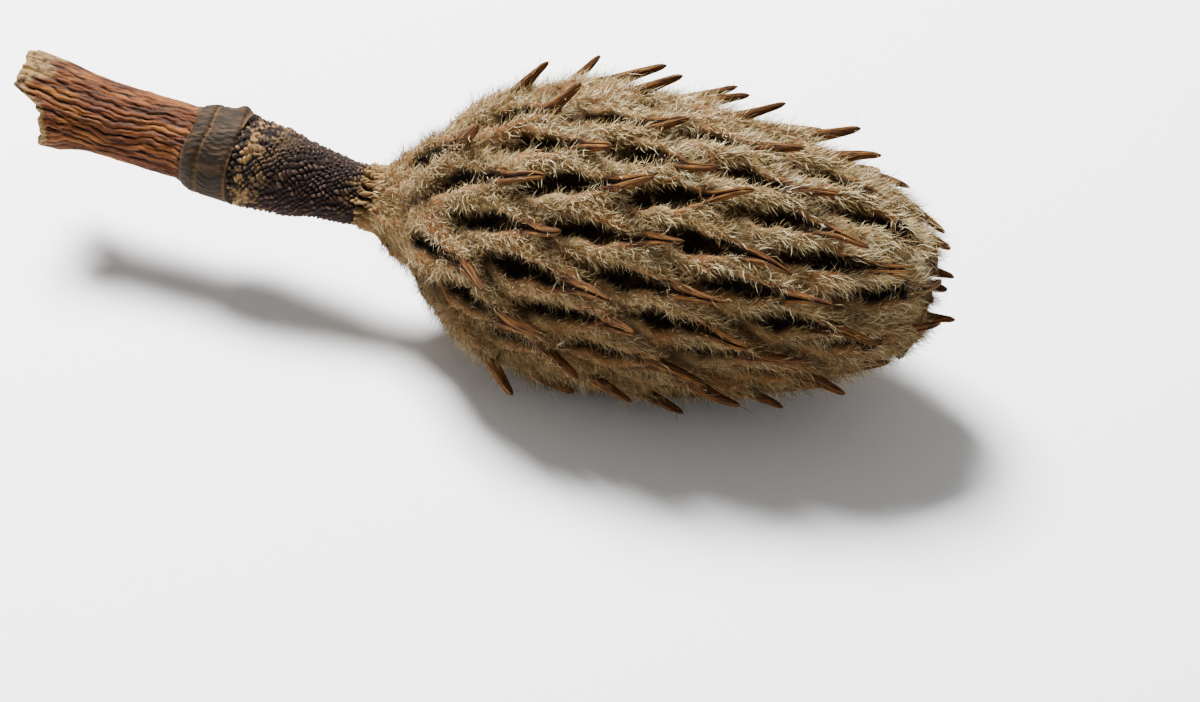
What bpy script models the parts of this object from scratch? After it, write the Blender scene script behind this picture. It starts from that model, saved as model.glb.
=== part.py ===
"""A dry, open magnolia seed pod with its cut stalk, lying on its belly.

Metres, +Z up. +X runs from the broken end of the stalk to the tip of the head, and the floor is z = 0.
"""

import math
import random

import bmesh
import bpy
import numpy as np

MM = 0.001

# Lengths along the pod's axis, from the broken end of the stalk
STALK_LENGTH = 32.9 * MM
COLLAR_START = 25.6 * MM
BAND_START = 33.2 * MM
BAND_END = 51.7 * MM
NECK_START = 52.0 * MM
HEAD_START = 54.5 * MM
HEAD_LENGTH = 76.5 * MM

# The axis: the stalk swings sideways and lifts away from the head's own line
BEND_START = 44.0 * MM
BEND_END = 60.0 * MM
STALK_SWING_DEG = 5.6
STALK_LIFT_DEG = 5.0
HEAD_RISE_DEG = 2.5
AXIS_STEP = 0.5 * MM

# Radii
STALK_END_RADIUS = 6.4 * MM
STALK_WAIST_RADIUS = 5.2 * MM
COLLAR_RADIUS = 6.3 * MM
BAND_RADIUS = 6.1 * MM
NECK_RADIUS = 4.2 * MM
CREST_RADIUS = 20.7 * MM

# The head's outline, as a power of a sine: blunt at the stalk, long at the tip
OUTLINE_SKEW = 0.765
OUTLINE_POWER_STALK = 0.87
OUTLINE_POWER_TIP = 0.32
CREST_HEIGHT = 3.5 * MM
CREST_SETTLES = 9.0 * MM
CORE_LEAST_SHARE = 0.9
CORE_TIP = 0.93
CORE_POINT = 0.97
CORE_SIDES = 18
CORE_RINGS = 9
# Strings of the neck: share of the radius, and the lengths over which they stay and fade
STRING_RELIEF = 0.09
STRING_LENGTH = 2.0 * MM
STRING_FADE = 4.0 * MM
NECK_RING = 1.6 * MM
FIRST_CORE_RING = 1.2 * MM

# The seed cases stand on one spiral, each with the same share of the surface
CELL_AREA = 84.7 * MM * MM
BARE_AREA = 689.0 * MM * MM
CASE_COUNT = 92
DIVERGENCE_DEG = 137.02
FIRST_ANGLE_DEG = 20.3
CASE_SCALE_AT_STALK = 0.98
CASE_SCALE_AT_TIP = 0.80
PITCH_LEAST_DEG = -60.0
RUN_PAST_TIP = 40.0 * MM
RANDOM_SEED = 11
# Least and greatest draws of a case's own size, twist, gape, beak length and beak swing
SIZE_DRAW = (0.96, 1.05)
TWIST_DRAW_DEG = (-7.0, 7.0)
GAPE_DRAW = (0.75, 1.2)
BEAK_DRAW = (0.8, 1.12)
SWING_DRAW_DEG = (-12.0, 12.0)

# One seed case at its cross-sections, in millimetres at full size:
# along, half width, foot, crest, half slit, slit depth
CASE_SECTIONS = (
    (-7.0, 3.3, -2.2, 1.0, 0.30, 0.2),
    (-4.4, 5.4, -2.2, 2.3, 1.25, 1.6),
    (-0.4, 6.6, -2.2, 3.2, 1.90, 3.2),
    (3.6, 5.6, -2.2, 3.9, 1.45, 3.0),
    (6.8, 3.3, -1.6, 4.2, 0.80, 2.0),
)
# Along and height of the case's hind end and of its beak's root
CASE_START = (-9.6, -1.2)
BEAK_ROOT = (7.6, 3.5)
# A lip's crest lies this far beyond the slit's edge, and its shoulder at these shares of width and height
LIP_ROUNDING = 0.3
SHOULDER_OUT = 0.62
SHOULDER_UP = 0.80
# The beak's cross-section: distance from its root, half width, half thickness, half groove
BEAK_SECTION = (1.9, 1.35, 1.15, 0.40)
BEAK_KEEL = 0.6
BEAK_GROOVE_UP = 0.2
BEAK_LENGTH = 8.6
BEAK_LIFT_DEG = 30.0
BEAK_LIFT_SPREAD_DEG = 12.0
# Towards the head's tip the beaks droop and shorten, from this share of the head's length
TIP_FROM = 0.70
TIP_DROOP_DEG = 45.0
TIP_SHORTENING = 0.35

# Relief of the warty band, larger than life
BAND_BUMPS_ROUND = 19
BAND_ROWS = 17
BUMP_HEIGHT = 0.5 * MM
BAND_END_SHARE = 0.95

# Relief of the stalk
STALK_RIDGES = 12
STALK_RINGS = 15
RIDGE_HEIGHT = 0.5 * MM
RIDGE_SWAY = 0.09
RIDGE_SWAY_LENGTH = 4.5 * MM
FLARE_LENGTH = 11.0 * MM
SWELLING_LENGTH = 4.0 * MM
LOBE_HEIGHTS = (0.25 * MM, 0.20 * MM)
# The torn end: one side stands out beyond the start of the axis, the other stands back
TORN_BACK = 3.2 * MM
TORN_STEP = 5.2 * MM
TORN_SIDE = 0.67
TORN_EDGE = (-0.3, 0.7)
TORN_LENGTH = 9.0 * MM
TORN_JAGS = 0.5 * MM
TORN_CENTRE = 2.4 * MM

# The belly is flat where it rests
FLOOR_DEPTH = 0.9 * MM
PRESSED_FROM = 0.45
CUTTER_SIZE = 400.0 * MM

# Colours and finish
STALK_COLOUR = (0.42, 0.19, 0.08)
BAND_COLOUR = (0.07, 0.045, 0.045)
HEAD_COLOUR = (0.50, 0.41, 0.27)
STALK_ROUGHNESS = 0.75
BAND_ROUGHNESS = 0.8
HEAD_ROUGHNESS = 0.95


def clear_scene():
    """Takes every object out of the file."""
    for old in list(bpy.data.objects):
        bpy.data.objects.remove(old, do_unlink=True)


def make_material(name, colour, roughness):
    """A plain material of one colour and roughness."""
    material = bpy.data.materials.new(name)
    material.use_nodes = True
    shader = material.node_tree.nodes["Principled BSDF"]
    shader.inputs["Base Color"].default_value = (*colour, 1.0)
    shader.inputs["Roughness"].default_value = roughness
    shader.inputs["Metallic"].default_value = 0.0
    return material


def smooth_step(value):
    """Rises from 0 to 1 as value does, level at both ends."""
    clipped = np.clip(value, 0.0, 1.0)
    return clipped * clipped * (3.0 - 2.0 * clipped)


class Axis:
    """The pod's bent axis, walked in short steps from the head's line back along the stalk."""

    def __init__(self):
        self.along = np.arange(0.0, HEAD_START + HEAD_LENGTH + AXIS_STEP, AXIS_STEP)
        share = 1.0 - smooth_step((self.along - BEND_START) / (BEND_END - BEND_START))
        swing = np.radians(STALK_SWING_DEG) * share
        rise = np.radians(HEAD_RISE_DEG) - np.radians(STALK_LIFT_DEG) * share
        self.forward = np.stack(
            [np.cos(rise) * np.cos(swing), -np.cos(rise) * np.sin(swing), np.sin(rise)], axis=1
        )
        middles = (self.forward[1:] + self.forward[:-1]) / 2.0
        self.points = np.vstack([np.zeros(3), np.cumsum(middles * AXIS_STEP, axis=0)])

    def _read(self, table, along):
        return np.stack([np.interp(along, self.along, column) for column in table.T], axis=-1)

    def frame(self, along):
        """Point, forward, side and up directions at distances along the axis, straight on before its start."""
        along = np.asarray(along, dtype=float)
        forward = self._read(self.forward, along)
        forward /= np.linalg.norm(forward, axis=-1, keepdims=True)
        point = self._read(self.points, along) + np.minimum(along, 0.0)[..., None] * forward
        side = np.cross(forward, (0.0, 0.0, 1.0))
        side /= np.linalg.norm(side, axis=-1, keepdims=True)
        return point, forward, side, np.cross(side, forward)

    def around(self, along, radius, angle):
        """Points at a radius and an angle round the axis, the angle from straight up."""
        point, _, side, up = self.frame(along)
        radius = np.asarray(radius)[..., None]
        angle = np.asarray(angle)[..., None]
        return point + radius * (np.cos(angle) * up + np.sin(angle) * side)


def crest_radius(along):
    """Radius of the head over the lips of its seed cases."""
    share = np.clip((np.asarray(along) - HEAD_START) / HEAD_LENGTH, 0.0, 1.0)
    wave = np.sin(np.pi * share**OUTLINE_SKEW)
    widest = 0.5 ** (1.0 / OUTLINE_SKEW)
    power = np.where(share < widest, OUTLINE_POWER_STALK, OUTLINE_POWER_TIP)
    egg = CREST_RADIUS * np.clip(wave, 0.0, 1.0) ** power
    return (egg**4 + NECK_RADIUS**4) ** 0.25


def core_radius(along):
    """Radius of the core, which the seed cases stand on: it meets the neck's own radius."""
    share = smooth_step((np.asarray(along) - HEAD_START) / CREST_SETTLES)
    return np.maximum(crest_radius(along) - CREST_HEIGHT * share, NECK_RADIUS * CORE_LEAST_SHARE)


def loft(name, rings, start, end, alternate=False):
    """A closed mesh object through rings of points, with a fan to a point at each end.

    With alternate, the squares are split along crossed diagonals, which leaves every other corner a bump.
    """
    rings = np.asarray(rings)
    count, sides = rings.shape[:2]
    points = np.vstack([rings.reshape(-1, 3), start, end])
    faces = []
    for row in range(count - 1):
        for col in range(sides):
            a = row * sides + col
            b = row * sides + (col + 1) % sides
            if alternate and (row + col) % 2:
                faces.append((a, b, a + sides))
                faces.append((b, b + sides, a + sides))
            else:
                faces.append((a, b, b + sides))
                faces.append((a, b + sides, a + sides))
    first, last = len(points) - 2, len(points) - 1
    for col in range(sides):
        following = (col + 1) % sides
        faces.append((first, following, col))
        faces.append((last, (count - 1) * sides + col, (count - 1) * sides + following))
    mesh = bpy.data.meshes.new(name)
    mesh.from_pydata([tuple(p) for p in points], [], faces)
    shape = bmesh.new()
    shape.from_mesh(mesh)
    bmesh.ops.recalc_face_normals(shape, faces=shape.faces)
    shape.to_mesh(mesh)
    shape.free()
    return bpy.data.objects.new(name, mesh)


def seed_case_places():
    """(distance along the axis, angle round it) of each seed case, by the spiral rule."""
    along = np.arange(HEAD_START, HEAD_START + HEAD_LENGTH, AXIS_STEP / 2.0)
    radius = crest_radius(along)
    slant = np.hypot(np.diff(along), np.diff(radius))
    area = np.concatenate([[0.0], np.cumsum(slant * 2.0 * np.pi * (radius[1:] + radius[:-1]) / 2.0)])
    places = []
    for number in range(CASE_COUNT):
        where = float(np.interp(BARE_AREA + number * CELL_AREA, area, along))
        places.append((where, math.radians(FIRST_ANGLE_DEG + number * DIVERGENCE_DEG)))
    return places


class Meridian:
    """The core's profile by its own length. Its slope is held back at the tip, where cases point onward."""

    def __init__(self):
        along = np.arange(NECK_START, HEAD_START + HEAD_LENGTH, AXIS_STEP / 4.0)
        radius = core_radius(along)
        length = np.concatenate([[0.0], np.cumsum(np.hypot(np.diff(along), np.diff(radius)))])
        slope = np.arctan2(np.gradient(radius), np.gradient(along))
        past = np.arange(AXIS_STEP, RUN_PAST_TIP, AXIS_STEP)
        self.length = np.concatenate([length, length[-1] + past])
        self.slope = np.concatenate([slope, np.full(len(past), slope[-1])])
        self.slope = np.maximum(self.slope, math.radians(PITCH_LEAST_DEG))
        steps = np.diff(self.length)
        self.onward = np.concatenate([[0.0], np.cumsum(steps * np.cos(self.slope[1:]))])
        self.outward = np.concatenate([[0.0], np.cumsum(steps * np.sin(self.slope[1:]))])
        self.along = along
        self.along_length = length

    def walk(self, along, distance):
        """Distance along the axis and radius, a way along the profile from a start, and the slope there."""
        start = np.interp(along, self.along, self.along_length)
        there = start + distance

        def gained(table):
            return float(np.interp(there, self.length, table) - np.interp(start, self.length, table))

        slope = float(np.interp(there, self.length, self.slope))
        return along + gained(self.onward), float(core_radius(along)) + gained(self.outward), slope


def case_section(half_width, foot, crest, half_slit, depth):
    """(across, outward) corners of one cross-section: feet, rounded lips and the slit between them."""
    shoulder = half_slit + SHOULDER_OUT * (half_width - half_slit)
    shoulder_up = foot + SHOULDER_UP * (crest - foot)
    return (
        (-half_width, foot),
        (-shoulder, shoulder_up),
        (-half_slit - LIP_ROUNDING, crest),
        (0.0, crest - depth),
        (half_slit + LIP_ROUNDING, crest),
        (shoulder, shoulder_up),
        (half_width, foot),
    )


def beak_section(half_width, half_thickness, groove):
    """Corners of the beak's cross-section, two lamellae with a groove on top, in the same order."""
    return (
        (-half_width * BEAK_KEEL, -half_thickness),
        (-half_width, half_thickness * BEAK_KEEL),
        (-groove, half_thickness),
        (0.0, half_thickness * BEAK_GROOVE_UP),
        (groove, half_thickness),
        (half_width, half_thickness * BEAK_KEEL),
        (half_width * BEAK_KEEL, -half_thickness),
    )


class CasePlacer:
    """Carries a seed case's own measures onto the head, bent along the profile that it grows on."""

    def __init__(self, axis, meridian, along, angle, scale, twist):
        self.axis = axis
        self.meridian = meridian
        self.along = along
        self.angle = angle
        self.scale = scale
        self.twist = twist

    def frame(self, x):
        """Point on the core under the case at x, and the onward, across and outward directions there."""
        where, radius, slope = self.meridian.walk(self.along, x * self.scale)
        point, forward, side, up = self.axis.frame(where)
        radial = math.cos(self.angle) * up + math.sin(self.angle) * side
        onward = math.cos(slope) * forward + math.sin(slope) * radial
        outward = math.cos(slope) * radial - math.sin(slope) * forward
        across = np.cross(outward, onward)
        return point + radius * radial, onward, across, outward

    def place(self, x, y, z):
        """Place on the head of a point that lies x along, y across and z above the case's own foot."""
        point, _, across, outward = self.frame(x)
        return point + self.scale * ((y + x * math.tan(self.twist)) * across + z * outward)


def add_seed_case(placer, number, draw, collection):
    """One seed case: a long mound with a gaping slit, drawn out into a lifted beak."""
    gape = draw.uniform(*GAPE_DRAW)
    lift = math.radians(BEAK_LIFT_DEG + draw.uniform(-1.0, 1.0) * BEAK_LIFT_SPREAD_DEG)
    length = draw.uniform(*BEAK_DRAW)
    sideways = math.radians(draw.uniform(*SWING_DRAW_DEG))
    share = (placer.along - HEAD_START) / HEAD_LENGTH
    near_tip = float(smooth_step((share - TIP_FROM) / (1.0 - TIP_FROM)))
    lift -= math.radians(TIP_DROOP_DEG) * near_tip
    length *= 1.0 - TIP_SHORTENING * near_tip
    rings = []
    for x, half_width, foot, crest, half_slit, depth in CASE_SECTIONS:
        corners = case_section(half_width, foot, crest, half_slit * gape, depth)
        rings.append([placer.place(x, y, z) for y, z in corners])
    root_x, root_z = BEAK_ROOT
    root = placer.place(root_x, 0.0, root_z)
    _, onward, across, outward = placer.frame(root_x)
    pressed = smooth_step((-outward[2] - PRESSED_FROM) / (1.0 - PRESSED_FROM))
    lift *= 1.0 - float(pressed)
    ahead = math.cos(lift) * onward + math.sin(lift) * outward + math.sin(sideways) * across
    above = math.cos(lift) * outward - math.sin(lift) * onward
    distance, half_width, half_thickness, groove = BEAK_SECTION
    middle = root + placer.scale * distance * length * ahead
    corners = beak_section(half_width, half_thickness, groove)
    rings.append([middle + placer.scale * (y * across + z * above) for y, z in corners])
    tip = root + placer.scale * BEAK_LENGTH * length * ahead
    start = placer.place(CASE_START[0], 0.0, CASE_START[1])
    collection.objects.link(loft(f"case_{number}", rings, start, tip))


def make_core(axis):
    """The neck with its stringy ridges, and the core that the seed cases are sunk in."""
    stations = np.concatenate(
        [
            [NECK_START, NECK_START + NECK_RING],
            np.linspace(HEAD_START + FIRST_CORE_RING, HEAD_START + CORE_TIP * HEAD_LENGTH, CORE_RINGS),
        ]
    )
    angles = np.arange(CORE_SIDES) * 2.0 * np.pi / CORE_SIDES
    rings = []
    for along in stations:
        ridged = 1.0 - float(smooth_step((along - HEAD_START - STRING_LENGTH) / STRING_FADE))
        ridge = 1.0 + STRING_RELIEF * ridged * np.cos(angles * CORE_SIDES / 2.0)
        rings.append(axis.around(np.full(CORE_SIDES, along), core_radius(along) * ridge, angles))
    ends = axis.frame([NECK_START, HEAD_START + CORE_POINT * HEAD_LENGTH])[0]
    return loft("seed_head", rings, ends[0], ends[1])


def apply_boolean(target, operation, operand, solver):
    """Runs one Boolean on the target and keeps its result as the target's own mesh."""
    modifier = target.modifiers.new(operation.lower(), "BOOLEAN")
    modifier.operation = operation
    modifier.solver = solver
    if isinstance(operand, bpy.types.Collection):
        modifier.operand_type = "COLLECTION"
        modifier.collection = operand
    else:
        modifier.object = operand
    bpy.context.view_layer.update()
    graph = bpy.context.evaluated_depsgraph_get()
    result = bpy.data.meshes.new_from_object(target.evaluated_get(graph))
    target.modifiers.clear()
    target.data = result


def keep_largest_shell(target):
    """Fills hollows that the fusing sealed, and drops loose scrap, by keeping the largest shell."""
    shape = bmesh.new()
    shape.from_mesh(target.data)
    bmesh.ops.triangulate(shape, faces=shape.faces)
    shape.verts.ensure_lookup_table()
    unseen = set(shape.verts)
    shells = []
    while unseen:
        shell = {unseen.pop()}
        front = list(shell)
        while front:
            vertex = front.pop()
            for edge in vertex.link_edges:
                other = edge.other_vert(vertex)
                if other in unseen:
                    unseen.discard(other)
                    shell.add(other)
                    front.append(other)
        shells.append(shell)
    largest = max(shells, key=len)
    loose = [vertex for shell in shells if shell is not largest for vertex in shell]
    bmesh.ops.delete(shape, geom=loose, context="VERTS")
    shape.to_mesh(target.data)
    shape.free()


def cut_flat(target, floor_height):
    """Cuts away all of the target below the floor."""
    mesh = bpy.data.meshes.new("floor_cutter")
    shape = bmesh.new()
    bmesh.ops.create_cube(shape, size=CUTTER_SIZE)
    shape.to_mesh(mesh)
    shape.free()
    cutter = bpy.data.objects.new("floor_cutter", mesh)
    cutter.location = (0.0, 0.0, floor_height - CUTTER_SIZE / 2.0)
    cutter.hide_render = True
    bpy.context.scene.collection.objects.link(cutter)
    apply_boolean(target, "DIFFERENCE", cutter, "MANIFOLD")
    bpy.data.objects.remove(cutter, do_unlink=True)


def make_seed_head(axis, collection):
    """The woolly head: its core with every seed case fused to it, cut flat where it rests."""
    head = make_core(axis)
    collection.objects.link(head)
    cases = bpy.data.collections.new("seed_cases")
    bpy.context.scene.collection.children.link(cases)
    draw = random.Random(RANDOM_SEED)
    meridian = Meridian()
    for number, (along, angle) in enumerate(seed_case_places()):
        share = (along - HEAD_START) / HEAD_LENGTH
        scale = CASE_SCALE_AT_STALK + (CASE_SCALE_AT_TIP - CASE_SCALE_AT_STALK) * share
        scale *= MM * draw.uniform(*SIZE_DRAW)
        twist = math.radians(draw.uniform(*TWIST_DRAW_DEG))
        placer = CasePlacer(axis, meridian, along, angle, scale, twist)
        add_seed_case(placer, number, draw, cases)
    apply_boolean(head, "UNION", cases, "MANIFOLD")
    for case in list(cases.objects):
        bpy.data.objects.remove(case, do_unlink=True)
    bpy.data.collections.remove(cases)
    keep_largest_shell(head)
    widest = HEAD_START + 0.5 ** (1.0 / OUTLINE_SKEW) * HEAD_LENGTH
    floor_height = float(axis.frame(widest)[0][2]) - CREST_RADIUS + FLOOR_DEPTH
    cut_flat(head, floor_height)
    keep_largest_shell(head)
    return head


def make_scar_band(axis, collection):
    """The dark band between stalk and neck: a net of low bumps left by fallen flower parts."""
    sides = BAND_BUMPS_ROUND * 2
    angles = np.arange(sides) * 2.0 * np.pi / sides
    rings = []
    for row in range(BAND_ROWS):
        share = row / (BAND_ROWS - 1)
        along = BAND_START + share * (BAND_END - BAND_START)
        narrowing = (NECK_RADIUS * BAND_END_SHARE - BAND_RADIUS) * float(smooth_step(share))
        inside = 0.0 if row in (0, BAND_ROWS - 1) else BUMP_HEIGHT
        raised = inside * ((np.arange(sides) + row) % 2)
        rings.append(axis.around(np.full(sides, along), BAND_RADIUS + narrowing + raised, angles))
    ends = axis.frame([BAND_START, BAND_END])[0]
    band = loft("scar_band", rings, ends[0], ends[1], alternate=True)
    collection.objects.link(band)
    return band


def stalk_radius(along):
    """Radius of the stalk: flared at its broken end, slim in the middle, swollen at the collar."""
    flare = 1.0 - smooth_step(along / FLARE_LENGTH)
    swelling = smooth_step((along - COLLAR_START) / SWELLING_LENGTH + 0.5)
    radius = STALK_WAIST_RADIUS + (STALK_END_RADIUS - STALK_WAIST_RADIUS) * flare
    return radius + (COLLAR_RADIUS - STALK_WAIST_RADIUS) * swelling


def torn_shift(angles):
    """How far the torn end stands back at angles round the axis."""
    low, width = TORN_EDGE
    standing = smooth_step((np.cos(angles + TORN_SIDE) - low) / width)
    return TORN_BACK - TORN_STEP * standing + TORN_JAGS * np.sin(5.0 * angles)


def make_stalk(axis, collection):
    """The cut stalk with its wrinkles, its torn end and its faceted collar."""
    sides = STALK_RIDGES * 2
    angles = np.arange(sides) * 2.0 * np.pi / sides
    spots = np.arange(sides)
    rings = []
    for row in range(STALK_RINGS):
        along = STALK_LENGTH * row / (STALK_RINGS - 1)
        shift = (1.0 - min(along / TORN_LENGTH, 1.0)) * torn_shift(angles)
        sway = RIDGE_SWAY * math.sin(along / RIDGE_SWAY_LENGTH)
        ridge = RIDGE_HEIGHT * np.where(spots % 2 == 0, 0.5, -0.5)
        lobes = LOBE_HEIGHTS[0] * np.cos(3.0 * angles + 1.0) + LOBE_HEIGHTS[1] * np.sin(2.0 * angles)
        radius = stalk_radius(along) + ridge + lobes
        rings.append(axis.around(along + shift, radius, angles + sway))
    ends = axis.frame([TORN_CENTRE, STALK_LENGTH])[0]
    stalk = loft("stalk", rings, ends[0], ends[1])
    collection.objects.link(stalk)
    return stalk


def stand_on_origin(nodes):
    """Moves the whole pod so that the middle of its underside's box is the origin."""
    corners = np.array([vertex.co[:] for node in nodes for vertex in node.data.vertices])
    low, high = corners.min(axis=0), corners.max(axis=0)
    shift = -np.array([(low[0] + high[0]) / 2.0, (low[1] + high[1]) / 2.0, low[2]])
    for node in nodes:
        for vertex in node.data.vertices:
            vertex.co = tuple(np.array(vertex.co) + shift)
    return shift


def paint(node, name, colour, roughness):
    """Gives a node one material of its own."""
    node.data.materials.clear()
    node.data.materials.append(make_material(name, colour, roughness))


def main():
    clear_scene()
    collection = bpy.data.collections.new("magnolia_seed_pod")
    bpy.context.scene.collection.children.link(collection)
    axis = Axis()
    stalk = make_stalk(axis, collection)
    band = make_scar_band(axis, collection)
    head = make_seed_head(axis, collection)
    paint(stalk, "dry_bark", STALK_COLOUR, STALK_ROUGHNESS)
    paint(band, "scarred_bark", BAND_COLOUR, BAND_ROUGHNESS)
    paint(head, "woolly_husk", HEAD_COLOUR, HEAD_ROUGHNESS)
    shift = stand_on_origin([stalk, band, head])
    print("moved by, in mm:", [round(float(value) / MM, 3) for value in shift])


if __name__ == "__main__":
    main()
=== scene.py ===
"""A dry, open magnolia seed pod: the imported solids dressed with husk, wool, beaks, bark and scars.

Metres, +Z up. +X runs from the broken end of the stalk to the tip of the head, and the floor is z = 0.
"""

from __future__ import annotations

import logging
import math
import random
from collections.abc import Sequence
from dataclasses import dataclass, field
from enum import Enum

import bpy
import numpy as np
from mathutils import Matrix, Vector
from mathutils.bvhtree import BVHTree

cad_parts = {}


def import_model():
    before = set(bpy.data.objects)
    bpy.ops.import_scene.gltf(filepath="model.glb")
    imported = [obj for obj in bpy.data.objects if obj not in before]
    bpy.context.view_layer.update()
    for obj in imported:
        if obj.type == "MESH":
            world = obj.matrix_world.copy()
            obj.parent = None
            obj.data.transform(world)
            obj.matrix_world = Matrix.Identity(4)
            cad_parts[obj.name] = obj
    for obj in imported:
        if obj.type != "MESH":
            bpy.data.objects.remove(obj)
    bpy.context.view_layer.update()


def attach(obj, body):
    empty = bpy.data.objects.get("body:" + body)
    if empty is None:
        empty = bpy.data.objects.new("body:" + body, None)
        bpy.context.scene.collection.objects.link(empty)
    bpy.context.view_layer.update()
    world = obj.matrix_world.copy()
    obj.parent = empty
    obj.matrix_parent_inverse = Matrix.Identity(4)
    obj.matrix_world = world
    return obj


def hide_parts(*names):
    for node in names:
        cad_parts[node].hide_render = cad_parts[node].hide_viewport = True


log = logging.getLogger("magnolia_seed_pod")
Array = np.ndarray
Colour = tuple[float, float, float]
Socket = bpy.types.NodeSocket
MM = 0.001


def smooth_step(value: Array | float) -> Array:
    """Rise from 0 to 1 as value does, level at both ends.

    Args:
        value: Share of the way, of any shape.

    Returns:
        The cubic 3 v^2 - 2 v^3 of the value clipped to 0..1.
    """
    clipped = np.clip(value, 0.0, 1.0)
    return clipped * clipped * (3.0 - 2.0 * clipped)


def unit(vectors: Array) -> Array:
    """Scale vectors to length one.

    Args:
        vectors: Array whose last axis holds x, y and z.

    Returns:
        The same directions with length one.
    """
    return vectors / np.maximum(np.linalg.norm(vectors, axis=-1, keepdims=True), 1e-12)


def smooth_through(knots: Array, table: Array, where: Array) -> Array:
    """Read a table of columns on a smooth curve through its rows.

    Between two knots the curve is the cubic that meets both values and both mean slopes.

    Args:
        knots: Rising places of the rows.
        table: One row of values for each knot.
        where: Places to read at.

    Returns:
        Array of shape where.shape + (columns,).
    """
    slopes = np.gradient(table, knots, axis=0)
    place = np.clip(np.searchsorted(knots, where) - 1, 0, len(knots) - 2)
    width = (knots[place + 1] - knots[place])[..., None]
    t = ((where - knots[place])[..., None] / width).clip(0.0, 1.0)
    low, high = table[place], table[place + 1]
    rise, fall = slopes[place] * width, slopes[place + 1] * width
    straight = (2 * t**3 - 3 * t**2 + 1) * low + (3 * t**2 - 2 * t**3) * high
    return straight + (t**3 - 2 * t**2 + t) * rise + (t**3 - t**2) * fall


def press_flat(points: Array, lowest: float = 0.0) -> Array:
    """Bring points that would sink into the floor up to it.

    Args:
        points: Places, in metres.
        lowest: Height that no point is under.

    Returns:
        The points with z at least as high as the lowest.
    """
    pressed = points.copy()
    pressed[..., 2] = np.maximum(pressed[..., 2], lowest)
    return pressed


def ring_angles(columns: int) -> Array:
    """Angles evenly round a ring, as one row."""
    return np.linspace(0.0, 2.0 * np.pi, columns, endpoint=False)[None, :]


def with_caps(values: Array, shape: tuple[int, ...], first: float, last: float) -> Array:
    """Lay out one value for each vertex of a capped tube.

    Args:
        values: Values that spread to the tube's grid.
        shape: Rows and columns of the grid.
        first: Value at the first cap's point.
        last: Value at the last cap's point.

    Returns:
        The grid's values row by row, then those of the caps.
    """
    return np.append(np.broadcast_to(values, shape).ravel(), [first, last])


@dataclass
class MeshParts:
    """Vertices, triangles and named vertex values, gathered from many patches into one mesh."""

    points: list[Array] = field(default_factory=list)
    faces: list[Array] = field(default_factory=list)
    values: dict[str, list[Array]] = field(default_factory=dict)
    count: int = 0

    def add(self, points: Array, faces: Array, **values: Array) -> None:
        """Append one patch.

        Args:
            points: Vertices, of shape (n, 3).
            faces: Triangles by vertex number in this patch.
            values: Named values, one for each vertex.
        """
        self.points.append(points)
        self.faces.append(faces + self.count)
        self.count += len(points)
        for name, value in values.items():
            self.values.setdefault(name, []).append(np.broadcast_to(value, len(points)))

    def make(self, name: str) -> bpy.types.Object:
        """Turn the patches into one smoothly shaded object at the origin.

        Args:
            name: Name of the object and its mesh.

        Returns:
            The linked object.
        """
        mesh = bpy.data.meshes.new(name)
        points, faces = np.vstack(self.points), np.vstack(self.faces)
        mesh.from_pydata(points.tolist(), [], faces.tolist())
        mesh.polygons.foreach_set("use_smooth", np.ones(len(faces), bool))
        for key, parts in self.values.items():
            layer = mesh.attributes.new(key, "FLOAT", "POINT")
            layer.data.foreach_set("value", np.concatenate(parts).astype(np.float32))
        mesh.update()
        piece = bpy.data.objects.new(name, mesh)
        bpy.context.scene.collection.objects.link(piece)
        return piece


def tube_faces(rows: int, columns: int) -> Array:
    """Triangles of a grid that is closed round its columns and capped by a point at each end.

    The grid's vertices come row by row, then the first and the last cap's point.

    Args:
        rows: Rings of the tube.
        columns: Vertices of each ring.

    Returns:
        Triangles, facing out where the rings turn right-handed about the way the rows advance.
    """
    row, col = np.meshgrid(np.arange(rows - 1), np.arange(columns), indexing="ij")
    a = (row * columns + col).ravel()
    b = (row * columns + (col + 1) % columns).ravel()
    sides = np.vstack([np.stack([a, b, b + columns], 1), np.stack([a, b + columns, a + columns], 1)])
    first = np.arange(columns)
    second = (first + 1) % columns
    start, end = rows * columns, rows * columns + 1
    last = (rows - 1) * columns
    cap = np.stack([np.full(columns, start), second, first], 1)
    lid = np.stack([np.full(columns, end), first + last, second + last], 1)
    return np.vstack([sides, cap, lid])


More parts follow.
